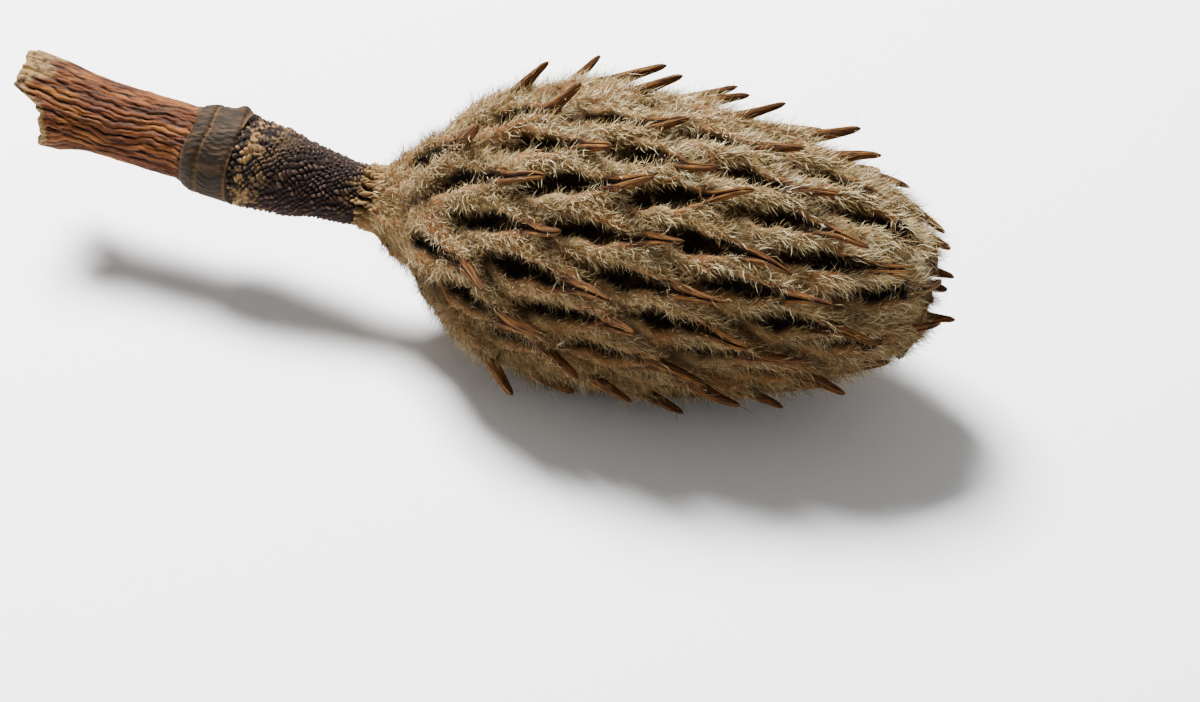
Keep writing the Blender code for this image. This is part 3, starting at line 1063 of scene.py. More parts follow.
@dataclass
class SeedHusks:
    """The seed cases' husks: long mounds, each with two swollen lips round a gaping slit."""

    placer: CasePlacer
    cases: list[SeedCase]
    stations: int = 34
    # along, half width, foot, crest, half slit, slit depth, in millimetres at full size
    sections: tuple[tuple[float, ...], ...] = (
        (-9.6, 0.8, -2.4, -1.7, 0.10, 0.0),
        (-7.0, 2.9, -2.2, 0.2, 0.45, 0.4),
        (-4.4, 5.2, -2.2, 2.1, 1.30, 2.1),
        (-0.4, 6.4, -2.2, 3.3, 1.95, 3.6),
        (3.6, 5.4, -2.2, 4.0, 1.50, 3.4),
        (6.8, 3.4, -1.6, 4.4, 0.85, 2.4),
        (9.0, 1.9, 1.4, 4.6, 0.50, 1.0),
        (9.9, 0.8, 3.4, 4.6, 0.20, 0.2),
    )
    # from the slit's middle to the foot of every cross-section: shares of half slit, lip and slit depth
    spread_slit: tuple[float, ...] = (0.35, 0.65, 0.86, 0.97, 1.0, 1.0, 1.0, 1.0, 1.0, 1.0, 1.0, 1.0)
    spread_lip: tuple[float, ...] = (0.0, 0.0, 0.01, 0.03, 0.08, 0.16, 0.28, 0.42, 0.58, 0.74, 0.89, 1.0)
    sink: tuple[float, ...] = (0.97, 0.86, 0.62, 0.36, 0.16, 0.05, 0.0, 0.0, 0.0, 0.0, 0.0, 0.0)
    openness: float = 0.84
    least_slit: float = 0.05
    # where a slit is kept clear of other cases: from and to along it, under what height and how far
    # under its floor, in millimetres at full size, and over how many times its width
    cleared_from: float = -6.0
    cleared_to: float = 8.5
    cleared_under: float = 3.0
    cleared_by: float = 0.25
    cleared_width: float = 1.1
    # how far back the hind end starts, where the wool is turned back, and over what length it turns
    hind_end: float = 6.6
    hind_turn: float = 1.6
    seed: int = 5

    def _clear(self, case: SeedCase, x: Array, y: Array, z: Array) -> Array:
        """Push the low parts of a case down where they would stand in another case's slit.

        A point comes no higher than just under the other slit's floor, which is the crest less the
        depth times a share that falls from 1 in the middle to 0.45 at the edge.

        Args:
            case: The seed case.
            x: Places along it.
            y: Places across it.
            z: Heights over the core.

        Returns:
            The heights after clearing.
        """
        table = np.array(self.sections)
        for other in self.cases:
            if other is case:
                continue
            along, across = self.placer.seen_from(other, case, x, y)
            _, _, crest, slit, depth = smooth_through(table[:, 0], table[:, 1:], along).transpose(2, 0, 1)
            slit = slit * other.gape * self.openness * self.cleared_width
            edge = np.abs(across) / np.maximum(slit, self.least_slit)
            within = (along > self.cleared_from) & (along < self.cleared_to)
            within &= (edge < 1.0) & (z < self.cleared_under)
            bottom = crest - depth * (1.0 - 0.55 * edge**2) - self.cleared_by
            z = np.where(within, np.minimum(z, bottom * other.scale / case.scale), z)
        return z

    def _stations(self) -> Array:
        """Place the cross-sections, closer together at both ends.

        Returns:
            Places along the case.
        """
        share = np.linspace(0.0, 1.0, self.stations)
        first, last = self.sections[0][0], self.sections[-1][0]
        return first + (last - first) * (share + 0.05 * np.sin(2.0 * np.pi * share))

    def _shape(self, case: SeedCase, draw: np.random.Generator) -> tuple[Array, dict[str, Array]]:
        """Work out one case's grid.

        A cross-section goes from foot to foot over both lips, from the across side. Its height is
        foot + (crest - foot) * sqrt(1 - lip^2.6), less the slit's depth times the sink, and its
        lips swell and sway by slow sines.

        Args:
            case: The seed case.
            draw: Source of the case's own phases.

        Returns:
            Vertices as (stations, ring, 3), and the named values of the same grid.
        """
        table = np.array(self.sections)
        x = self._stations()
        half, foot, crest, slit, depth = smooth_through(table[:, 0], table[:, 1:], x).T
        phase = draw.uniform(0.0, 2.0 * np.pi, 6)
        slit = slit * case.gape * self.openness * (1.0 + 0.22 * np.sin(1.1 * x + phase[0]))
        slit = np.maximum(slit, self.least_slit)
        gap, lip, sink = (np.array(row) for row in (self.spread_slit, self.spread_lip, self.sink))
        side = slit[:, None] * gap + np.maximum(half - slit, 0.1)[:, None] * lip
        y = np.hstack([side[:, ::-1], np.zeros((len(x), 1)), -side])
        lips = np.concatenate([lip[::-1], [0.0], lip])
        sinks = np.concatenate([sink[::-1], [1.0], sink])
        hump = np.sqrt(np.maximum(1.0 - lips**2.6, 0.0))
        across = np.broadcast_to(x[:, None], y.shape)
        lumps = np.sin(1.5 * across + phase[1] + 1.2 * np.sin(1.3 * y + phase[2]))
        lumps = lumps * np.sin(1.7 * y + phase[3]) + 0.6 * np.sin(3.1 * across + 2.3 * y + phase[4])
        inside = np.clip((crest - 0.6) / 2.0, 0.0, 1.0)[:, None]
        swell = 0.22 * lumps * inside * (1.0 - sinks) * hump
        z = foot[:, None] + (crest - foot)[:, None] * hump - depth[:, None] * sinks + swell
        y = y + 0.2 * np.sin(0.8 * across + phase[5]) * inside
        z = self._clear(case, across, y, z)
        points = self.placer.place(case, across, y, z)
        away = np.where(np.arange(len(lips)) < len(lip), 1.0, -1.0) * (1.0 - smooth_step(lips / 0.5))
        # the height value also sets the painted crease shade of husk and wool; it is raised on the hind ends
        # of the first cases and the fronts of the cases at the tip, so that these are not painted dark
        hind = (1.0 - smooth_step((across + 5.5) / 4.5)) * (1.0 - smooth_step((case.share - 0.10) / 0.15))
        at_tip = smooth_step((case.share - 0.80) / 0.12)
        front = at_tip * smooth_step((across + 1.0) / 5.0)
        by_beak = smooth_step((across - 4.4) / 3.0) * (1.0 - smooth_step((lips - 0.08) / 0.42))
        values = {
            "height": np.clip((z - 0.2) / 4.2 + 0.45 * hind + 0.6 * front * (1.0 - sinks), 0.0, 1.0),
            "slit": sinks * np.clip(depth / 1.6, 0.0, 1.0)[:, None],
            "bare": by_beak * (1.0 - at_tip),
            "away": np.broadcast_to(away, z.shape),
        }
        return points, values

    def build(self) -> tuple[bpy.types.Object, HuskSurface]:
        """Build all husks as one piece.

        The wool's onward direction is turned back on the hind ends, so that it covers them.

        Returns:
            The piece, and its surface for the wool to grow on.
        """
        turned = np.clip((self._stations() + self.hind_end) / self.hind_turn, -1.0, 1.0)
        draw = np.random.default_rng(self.seed)
        middle = len(self.sink)
        shells = CaseShells()
        for case in self.cases:
            grid, values = self._shape(case, draw)
            onward = unit(np.gradient(grid[:, middle], axis=0)) * turned[:, None]
            across = unit(grid[:, middle - 1] - grid[:, middle + 1])
            shells.add(case, grid, values, onward, across)
        return shells.make("seed_husks")


@dataclass
class Wool:
    """Short wool on the husks: bent, tapering hairs of three faces each."""

    surface: HuskSurface
    axis: PodAxis
    hairs: int = 192_000
    pieces: int = 3
    least_length: float = 1.3 * MM
    most_length: float = 3.4 * MM
    width: float = 0.066 * MM
    sunk: float = 0.1 * MM
    above_floor: float = 0.15 * MM
    # shares of the normal, the onward way, the way out of the slit and chance in a hair's first half
    lean: tuple[float, float, float, float] = (0.48, 0.70, 0.45, 0.36)
    crossing_hairs: float = 0.34
    crossing_lean: float = -0.8
    # height over the floor, in millimetres, from which the wool is painted paler as if lit from above and
    # darker below, and over what height
    painted_light_from_mm: float = 34.0
    painted_light_over_mm: float = 12.0
    seed: int = 23

    def _roots(self, draw: np.random.Generator) -> dict[str, Array]:
        """Choose roots on open faces, by area, fewer at the slit's edge and by the beak.

        Args:
            draw: Source of the choice.

        Returns:
            Points, directions and values of the surface at the roots.
        """
        surface = self.surface
        normals, area = surface.normals()
        faces = surface.faces
        slit, bare = (surface.values[name][faces].mean(axis=1) for name in ("slit", "bare"))
        thinned = (1.0 - 0.97 * smooth_step((slit - 0.10) / 0.28)) * (1.0 - 0.95 * bare)
        weight = area * CoverTest().open_faces(surface, self.axis) * thinned
        chosen = draw.choice(len(faces), self.hairs, p=weight / weight.sum())
        corner = np.sort(draw.random((self.hairs, 2)), axis=1)
        mixed = np.stack([corner[:, 0], corner[:, 1] - corner[:, 0], 1.0 - corner[:, 1]], axis=1)
        picked = faces[chosen]

        def read(table: Array) -> Array:
            """Blend a table's rows by the roots' places in their faces."""
            shares = mixed[..., None] if table.ndim > 1 else mixed
            return (table[picked] * shares).sum(axis=1)

        return {
            "point": read(surface.points),
            "normal": normals[chosen],
            "onward": unit(read(surface.onward)),
            "across": unit(read(surface.across)),
            "height": read(surface.values["height"]),
            "away": read(surface.values["away"]),
            "share": read(surface.share),
        }

    def _hairs(self, roots: dict[str, Array], draw: np.random.Generator) -> tuple[Array, dict[str, Array]]:
        """Shape the hairs.

        A hair leaves its root between the normal, the onward direction and the way out of the
        slit, or in a third of them across the slit, with a random lean, bends once halfway and
        tapers to a point. Its width lies across its first half. The pod's upper side is painted
        paler and its lower side and creases darker, as painted light and shade; the end at the
        neck is paler too, and rusty.

        Args:
            roots: The surface at the roots.
            draw: Source of leans, lengths and tints.

        Returns:
            Vertices as (hairs, 5, 3), and the named values of the same shape without the last axis.
        """
        count = len(roots["point"])
        way = np.where(draw.random(count) < self.crossing_hairs, self.crossing_lean, 1.0)
        aside = (roots["away"] * way)[:, None] * roots["across"]
        ways = (roots["normal"], roots["onward"], aside, draw.normal(size=(count, 3)))
        first = unit(sum(share * direction for share, direction in zip(self.lean, ways)))
        second = unit(first + 0.5 * draw.normal(size=(count, 3)) + 0.2 * roots["onward"])
        length = draw.uniform(self.least_length, self.most_length, count)
        length *= 0.62 + 0.45 * roots["height"]
        length *= 1.0 - 0.45 * np.abs(roots["away"])
        side = unit(np.cross(first, roots["normal"] + 0.5 * draw.normal(size=(count, 3))))
        half = (0.5 * self.width * draw.uniform(0.6, 1.15, count))[:, None] * side
        base = roots["point"] - self.sunk * roots["normal"]
        middle = base + first * (0.55 * length)[:, None]
        tip = middle + second * (0.5 * length)[:, None]
        points = np.stack([base - half, base + half, middle - 0.8 * half, middle + 0.8 * half, tip], axis=1)
        height_mm = roots["point"][:, 2] / MM
        # painted light and shade: hairs are paler on the upper side and on crests, darker below and in
        # creases, on top of their random tone
        lit_side = np.clip((height_mm - self.painted_light_from_mm) / self.painted_light_over_mm, -1.4, 0.6)
        tint = 0.10 + 0.52 * roots["height"] + 0.17 * lit_side + 0.35 * draw.normal(size=count)
        tint = np.clip(tint + 0.16 * (1.0 - smooth_step((roots["share"] - 0.12) / 0.15)), 0.0, 1.0)
        blush = np.clip(1.0 - roots["share"] / 0.16, 0.0, 1.0) * draw.uniform(0.0, 0.8, count)
        speckle = (draw.random(count) < 0.12) * draw.uniform(0.2, 0.6, count)
        # painted shade: darker in the creases by height and towards the lower side
        lit = smooth_step((roots["height"] - 0.12) / 0.6) * np.clip(0.90 + 0.24 * lit_side, 0.6, 1.0)
        values = hair_values(count, (0.0, 0.6, 1.0), tint=tint, blush=np.maximum(blush, speckle), lit=lit)
        return press_flat(points, self.above_floor), values

    def build(self) -> list[bpy.types.Object]:
        """Build the wool in pieces that each stay under the face limit.

        Returns:
            The pieces.
        """
        draw = np.random.default_rng(self.seed)
        roots = self._roots(draw)
        points, values = self._hairs(roots, draw)
        order = np.argsort(roots["share"], kind="stable")
        made = []
        for number, group in enumerate(np.array_split(order, self.pieces), start=1):
            picked = {key: value[group] for key, value in values.items()}
            made.append(hair_piece(f"wool_{number}", points[group], picked))
        return made


def hair_values(count: int, reach: Sequence[float], **values: Array) -> dict[str, Array]:
    """Spread values over the five vertices of each hair.

    Args:
        count: Number of hairs.
        reach: How far along the hair its root, its middle and its tip are.
        values: Named values, one for each hair.

    Returns:
        The named values and the reach, each as (hairs, 5).
    """
    spread = {key: np.repeat(value[:, None], 5, axis=1) for key, value in values.items()}
    root, middle, tip = reach
    return spread | {"reach": np.broadcast_to([root, root, middle, middle, tip], (count, 5))}


def hair_piece(name: str, points: Array, values: dict[str, Array]) -> bpy.types.Object:
    """Make one piece of hairs, with a map that gives each hair a cell of its own.

    Args:
        name: Name of the piece.
        points: Vertices as (hairs, 5, 3): two at the root, two halfway and the tip.
        values: Named values as (hairs, 5).

    Returns:
        The piece.
    """
    count = len(points)
    pattern = np.array([[0, 1, 3], [0, 3, 2], [2, 3, 4]])
    faces = (np.arange(count)[:, None, None] * 5 + pattern).reshape(-1, 3)
    parts = MeshParts()
    parts.add(points.reshape(-1, 3), faces, **{key: value.ravel() for key, value in values.items()})
    piece = parts.make(name)
    cells = math.ceil(math.sqrt(count))
    corner = np.stack([np.arange(count) % cells, np.arange(count) // cells], axis=1) / cells
    shape = np.array([[0.1, 0.1], [0.9, 0.1], [0.15, 0.5], [0.85, 0.5], [0.5, 0.9]]) / cells
    places = (corner[:, None, :] + shape).reshape(-1, 2)
    layer = piece.data.uv_layers.new(name="OFBake")
    layer.data.foreach_set("uv", places[faces.ravel()].ravel().astype(np.float32))
    return piece


@dataclass
class Beaks:
    """The bare beaks: folded blades whose groove goes on from the slit and often forks at the end."""

    placer: CasePlacer
    cases: list[SeedCase]
    root: tuple[float, float] = (7.6, 3.5)
    length: float = 9.0
    rooted: float = -3.6
    stations: int = 15
    seed: int = 31
    # one flank of the folded blade from its keel to the groove, as shares of half width and half
    # height: two columns for the root, where the groove gapes, and two for the tip, where it closes
    flank: tuple[tuple[float, ...], ...] = (
        (0.0, -1.0, 0.0, -1.0),
        (0.50, -0.72, 0.50, -0.80),
        (0.88, -0.22, 0.90, -0.32),
        (1.0, 0.32, 1.0, 0.25),
        (0.96, 0.80, 0.88, 0.78),
        (0.84, 1.0, 0.60, 1.0),
        (0.66, 0.86, 0.30, 0.98),
        (0.36, 0.20, 0.12, 0.72),
        (0.0, -0.15, 0.0, 0.35),
    )

    def _blade(self, case: SeedCase, draw: np.random.Generator) -> tuple[Array, dict[str, Array]]:
        """Work out one beak as rings of a folded blade along a curved line.

        At share t the half width is 1.3 (1 - t)^1.1 + 0.42 and the half height 0.9 (1 - t) + 0.45,
        both rounded off at the end, and the height is less at the root. The line hooks by the
        square of the way along and sways by slow sines, the groove closes towards the tip, and
        some ends are forked.

        Args:
            case: The seed case.
            draw: Source of the beak's own differences.

        Returns:
            Vertices as (stations, ring, 3), and the named values of the same grid.
        """
        start, ahead, across, above = self.placer.beak_frame(case, self.root)
        t = 1.0 - np.linspace(1.0, 0.0, self.stations) ** 1.2
        distance = self.rooted + (self.length * case.beak - self.rooted) * t
        rounded = np.sqrt(np.clip(1.0 - ((t - 0.88) / 0.125).clip(0.0) ** 2, 0.04, 1.0))
        plump = draw.uniform(0.85, 1.12)
        phase = draw.uniform(0.0, 2.0 * np.pi, 4)
        wide = plump * (1.3 * (1.0 - t) ** 1.1 + 0.42) * rounded * (1.0 + 0.08 * np.sin(9.0 * t + phase[0]))
        tall = plump * (0.9 * (1.0 - t) + 0.45) * rounded * (0.55 + 0.45 * smooth_step(t / 0.3))
        forked = max(draw.uniform(-1.2, 1.0), 0.0) * smooth_step((t - 0.62) / 0.38)
        outer = np.array(self.flank)
        closing = np.clip((t - 0.18) * 2.2, 0.0, 1.0)[:, None, None]
        outer = (1.0 - closing) * outer[:, :2] + closing * outer[:, 2:]
        ring = np.concatenate([outer, (outer * (-1.0, 1.0))[:, -2:0:-1]], axis=1)
        inner = np.arange(ring.shape[1])
        inner = np.minimum(inner, ring.shape[1] - inner) >= len(self.flank) - 2
        edges = 1.0 + 0.3 * forked[:, None] * (ring[..., 1] > 0.3)
        y = wide[:, None] * ring[..., 0] * edges * (1.0 + 0.10 * np.sin(5.0 * t + phase[1]))[:, None]
        z = tall[:, None] * (ring[..., 1] - 0.9 * forked[:, None] * inner)
        turned = 0.5 * np.sin(1.6 * t + phase[2])[:, None] * t[:, None]
        y, z = y * np.cos(turned) - z * np.sin(turned), y * np.sin(turned) + z * np.cos(turned)
        bent = np.clip(distance / self.length, 0.0, 1.2) ** 2
        hook = 1.3 * float(smooth_step((case.share - 0.6) / 0.4)) + draw.uniform(-0.7, 1.2)
        z = z - (hook * bent)[:, None]
        y = y + (draw.uniform(-0.7, 0.7) * bent + 0.16 * np.sin(7.0 * t + phase[3]))[:, None]
        x = distance[:, None] - 0.5 * forked[:, None] * inner
        points = start + case.scale * (x[..., None] * ahead + y[..., None] * across + z[..., None] * above)
        number = np.arange(ring.shape[1]) / ring.shape[1]
        values = {
            "edge": np.exp(-(((ring[..., 1] - 1.0) / 0.3) ** 2)),
            "reach": t[:, None],
            "groove": inner.astype(float),
            "around": np.abs(number - 0.5) * 2.0,
            "own": np.array(draw.random()),
            "height": np.array(0.85),
            "slit": inner.astype(float),
            "bare": smooth_step((t[:, None] - 0.18) / 0.24),
            "away": np.array(0.0),
        }
        return points, {key: np.broadcast_to(value, y.shape) for key, value in values.items()}

    def build(self) -> tuple[bpy.types.Object, HuskSurface]:
        """Build all beaks as one piece.

        Returns:
            The piece, and its surface for the wool at the beaks' roots.
        """
        draw = np.random.default_rng(self.seed)
        widest = max(range(len(self.flank)), key=lambda row: self.flank[row][0])
        shells = CaseShells()
        for case in self.cases:
            grid, values = self._blade(case, draw)
            onward = unit(np.gradient(grid.mean(axis=1), axis=0))
            shells.add(case, grid, values, onward, unit(grid[:, widest] - grid[:, -widest]))
        return shells.make("beaks")


@dataclass
class NeckAndCore:
    """The neck's strings, and the core that closes the gaps between the seed cases."""

    axis: PodAxis
    outline: HeadOutline
    cases: list[SeedCase]
    first_cases: int = 11
    start: float = 51.75 * MM
    core_end: float = 0.93
    core_point: float = 0.97
    strings: int = 20
    rows: int = 100
    columns: int = 200
    sunk: float = 1.3 * MM
    shoulder: float = 1.7 * MM
    above_floor: float = 0.3 * MM
    # a ridge's half width in radians, where on its case it fades, in millimetres at full size, and
    # over how many millimetres
    ridge_width: float = 0.27
    ridge_end: float = -5.0
    ridge_fade: float = 3.0
    # where the strings fade, the ridges rise and the core sinks: start and length, in millimetres
    strings_fade: tuple[float, float] = (4.8, 3.5)
    ridges_rise: tuple[float, float] = (1.5, 4.0)
    core_sinks: tuple[float, float] = (3.5, 4.0)

    def _strings(self, way: Array, angle: Array) -> Array:
        """Work out the height of the neck's strings.

        A string is a smooth step of |sin| of the angle, which wanders by slow sines along the
        neck, and finer strings run over it.

        Args:
            way: Distances from the start, in millimetres.
            angle: Angles round the axis.

        Returns:
            Heights from 0 to about 1.
        """
        wander = 0.09 * np.sin(0.9 * way + 3.0 * np.sin(angle)) + 0.04 * np.sin(2.3 * way + 4.0 * angle)
        broad = smooth_step((np.abs(np.sin(0.5 * self.strings * (angle + wander))) - 0.28) / 0.5)
        fine = np.abs(np.sin(self.strings * (angle - 1.6 * wander) + 1.2 * np.sin(0.8 * way))) ** 0.7
        return broad * (0.45 + 0.55 * fine) + 0.12 * fine

    def _ridges(self, way: Array, angle: Array) -> Array:
        """Work out the ridges that run from the neck to each of the first cases.

        A ridge is a bell curve of the angle. It rises from the neck and fades on its own case.

        Args:
            way: Distances from the start, in millimetres.
            angle: Angles round the axis.

        Returns:
            Heights from 0 to 1.
        """
        rising = smooth_step((way - self.ridges_rise[0]) / self.ridges_rise[1])
        ridges = np.zeros_like(way * angle)
        for case in self.cases[: self.first_cases]:
            apart = np.mod(angle - case.angle + np.pi, 2.0 * np.pi) - np.pi
            end = self.outline.walk(case.along, np.array(self.ridge_end * case.scale))[0]
            fading = 1.0 - smooth_step((way - (end - self.start) / MM) / self.ridge_fade)
            ridge = np.exp(-((apart / self.ridge_width) ** 2)) * fading
            ridges = np.maximum(ridges, ridge * rising)
        return ridges

    def _surface(
        self, parts: MeshParts, grid: Array, centre: Array, share: Array, **values: Array
    ) -> HuskSurface:
        """Describe the core for the wool.

        Args:
            parts: The core's mesh.
            grid: Its vertices as (rows, columns, 3), without the caps.
            centre: The axis's point at each row.
            share: Way along the head, for each vertex.
            values: Height, slit, bare and away, for each vertex.

        Returns:
            The surface.
        """
        onward = unit(np.gradient(grid, axis=0))
        ways = onward, unit(np.cross(onward, grid - centre))
        closed = (np.vstack([way.reshape(-1, 3), way[0, :1], way[-1, :1]]) for way in ways)
        return HuskSurface(parts.points[0], parts.faces[0], *closed, values, share)

    def build(self) -> tuple[bpy.types.Object, HuskSurface]:
        """Build the surface: the core's radius and the strings, which fade where the first cases stand.

        Past the ridges to the first cases the core is sunk under the slits, and less so at the tip.

        Returns:
            The piece, and its surface for the wool on the shoulder.
        """
        end = self.outline.start + self.core_end * self.outline.length
        share = np.linspace(0.0, 1.0, self.rows)[:, None]
        along = self.start + (end - self.start) * share**2.2
        angle = ring_angles(self.columns)
        way = (along - self.start) / MM
        relief, ridges = self._strings(way, angle), self._ridges(way, angle)
        fade = 1.0 - smooth_step((way - self.strings_fade[0]) / self.strings_fade[1])
        at_tip = smooth_step((share - 0.86) / 0.1)
        sunk = self.sunk * smooth_step((way - self.core_sinks[0]) / self.core_sinks[1]) * (1.0 - 0.8 * at_tip)
        radius = self.outline.core(along) + (1.4 * relief - 0.9) * MM * fade
        radius = radius + self.shoulder * ridges - sunk * (1.0 - ridges)
        points = self.axis.around(along, radius, angle)
        point = self.outline.start + self.core_point * self.outline.length
        ends = self.axis.frame(np.array([self.start, point]))[0]
        blush = 0.7 * smooth_step((way - 0.5) / 3.0) * (1.0 - smooth_step((way - 8.0) / 2.5))
        shape = (self.rows, self.columns)
        parts = MeshParts()
        parts.add(
            press_flat(np.vstack([points.reshape(-1, 3), ends]), self.above_floor),
            tube_faces(*shape),
            height=with_caps(relief * fade + 0.55 * ridges, shape, 0.0, 0.0),
            blush=with_caps(blush, shape, 0.0, 0.0),
        )
        nothing = with_caps(np.array(0.0), shape, 0.0, 0.0)
        surface = self._surface(
            parts,
            points,
            self.axis.frame(along)[0],
            with_caps(0.07 + share, shape, 0.0, 1.0),
            # this height sets the painted crease shade of the wool on the core; it is raised at the tip and
            # on the ridges
            height=with_caps(0.22 + 0.58 * at_tip + 0.5 * ridges, shape, 0.6, 0.8),
            slit=nothing,
            bare=with_caps(1.0 - smooth_step((way - 2.8) / 2.2), shape, 1.0, 0.0),
            away=nothing,
        )
        return parts.make("neck_and_core"), surface


@dataclass
class NeckWool:
    """Long hairs that lie along the neck's strings and up on to the first seed cases."""

    axis: PodAxis
    outline: HeadOutline
    hairs: int = 4_400
    start: float = 53.6 * MM
    end: float = 60.0 * MM
    blush_length: float = 7.0 * MM
    length_mm: tuple[float, float] = (1.4, 3.0)
    lift_mm: tuple[float, float] = (0.15, 0.9)
    half_width_mm: tuple[float, float] = (0.035, 0.06)
    sway: float = 0.06
    seed: int = 47

    def build(self) -> bpy.types.Object:
        """Build the hairs.

        Each starts at a random place on the core, runs along the axis and out with the core's
        slope, lifts a little and sways sideways.

        Returns:
            The piece.
        """
        draw = np.random.default_rng(self.seed)
        along = self.start + (self.end - self.start) * draw.random(self.hairs) ** 0.8
        angle = draw.uniform(0.0, 2.0 * np.pi, self.hairs)
        length = draw.uniform(*self.length_mm, self.hairs) * MM
        sway = draw.normal(0.0, self.sway, self.hairs)
        lift = draw.uniform(*self.lift_mm, self.hairs) * MM
        base = self.outline.core(along)

        def at(share: float, raised: Array | float) -> Array:
            """Find places on the hairs' own lines.

            Args:
                share: Share of their length.
                raised: Height over the core.

            Returns:
                One place for each hair.
            """
            where = along + share * length
            outward = np.maximum(self.outline.core(where) - base, 0.0)
            return self.axis.around(where, base + outward + raised, angle + share * sway)

        root, middle, tip = at(0.0, 0.3 * MM), at(0.55, 0.6 * MM + 0.8 * lift), at(1.0, 0.5 * MM + 1.3 * lift)
        radial = unit(root - self.axis.frame(along)[0])
        half = (draw.uniform(*self.half_width_mm, self.hairs) * MM)[:, None]
        side = unit(np.cross(tip - root, radial)) * half
        points = np.stack([root - side, root + side, middle - side, middle + side, tip], axis=1)
        near_head = np.clip((along - self.start) / self.blush_length, 0.0, 1.0)
        values = hair_values(
            self.hairs,
            (0.3, 0.7, 1.0),
            tint=draw.uniform(0.0, 0.65, self.hairs),
            blush=near_head * draw.uniform(0.0, 0.9, self.hairs),
            lit=draw.uniform(0.3, 1.0, self.hairs),
        )
        return hair_piece("neck_wool", points, values)


@dataclass
class ScarBand:
    """The dark band of low bumps, in a slanting net, where flower parts stood."""

    axis: PodAxis
    start: float = 32.9 * MM
    end: float = 51.9 * MM
    thick_radius: float = 6.2 * MM
    thin_radius: float = 4.1 * MM
    bumps: int = 34
    row_pitch: float = 0.60 * MM
    height: float = 0.50 * MM
    sway: float = 0.10 * MM
    # how far the flecked margins reach, in millimetres
    collar_margin: float = 4.6
    neck_margin: float = 1.6
    rows: int = 150
    columns: int = 272

    def _relief(self, along: Array, angle: Array) -> tuple[Array, Array]:
        """Work out the bumps.

        On the net's slanting coordinates u = p + q/2 and v = p - q/2, with p bumps round and q
        rows along, e is the cube root of |2 du|^3 + |2 dv|^3, d being the way to the nearest whole
        number. A bump is the smooth step of (1 - e) / 0.5 times its own height and tilt.

        Args:
            along: Distances from the broken end.
            angle: Angles round the axis.

        Returns:
            The relief, and each bump's own random number.
        """
        rows = (along - self.start) / self.row_pitch
        p = angle / (2.0 * np.pi) * self.bumps
        p = p + 0.32 * np.sin(0.5 * rows + 2.0 * angle) + 0.20 * np.sin(1.3 * rows + 5.0 * angle)
        q = rows + 0.42 * np.sin(4.0 * angle + 0.4 * rows) + 0.28 * np.sin(9.0 * angle - 0.8 * rows)
        u, v = p + q / 2.0, p - q / 2.0
        whole_u, whole_v = np.round(u), np.round(v)
        edge = (np.abs(2.0 * (u - whole_u)) ** 3 + np.abs(2.0 * (v - whole_v)) ** 3) ** (1.0 / 3.0)
        ring = np.mod(whole_u + whole_v, 2 * self.bumps)
        line = whole_u - whole_v
        own = np.modf(np.abs(np.sin(ring * 12.9898 + line * 78.233)) * 43758.5453)[0]
        other = np.modf(np.abs(np.sin(ring * 39.346 + line * 11.135)) * 24634.6345)[0]
        slope = ((u - whole_u) - (v - whole_v)) * 0.55 + (u - whole_u) * (other - 0.5) * 0.9
        return smooth_step((1.0 - edge) / 0.5) * np.clip(0.42 + 0.75 * own - slope, 0.05, 1.35), own

    def build(self) -> bpy.types.Object:
        """Build the band as a tube with its relief.

        Returns:
            The piece.
        """
        share = np.linspace(0.0, 1.0, self.rows)[:, None]
        along = self.start + (self.end - self.start) * share
        angle = ring_angles(self.columns)
        relief, own = self._relief(along, angle)
        plain = self.thick_radius + (self.thin_radius - self.thick_radius) * smooth_step(share)
        from_collar = (along - self.start) / MM
        to_neck = (self.end - along) / MM
        margin = np.exp(-((from_collar / self.collar_margin) ** 2))
        margin = margin + np.exp(-((to_neck / self.neck_margin) ** 2))
        bumps = self.height * (relief - 0.35) * smooth_step(0.4 + from_collar)
        radius = plain + bumps + self.sway * np.sin(3.0 * angle + 0.8 * from_collar)
        points = self.axis.around(along, radius, angle)
        ends = self.axis.frame(np.array([self.start, self.end]))[0]
        shape = (self.rows, self.columns)
        parts = MeshParts()
        parts.add(
            np.vstack([points.reshape(-1, 3), ends]),
            tube_faces(*shape),
            height=with_caps(np.clip(relief, 0.0, 1.0), shape, 0.0, 0.0),
            own=with_caps(own, shape, 0.0, 0.0),
            margin=with_caps(margin, shape, 1.0, 1.0),
        )
        return parts.make("warty_band")


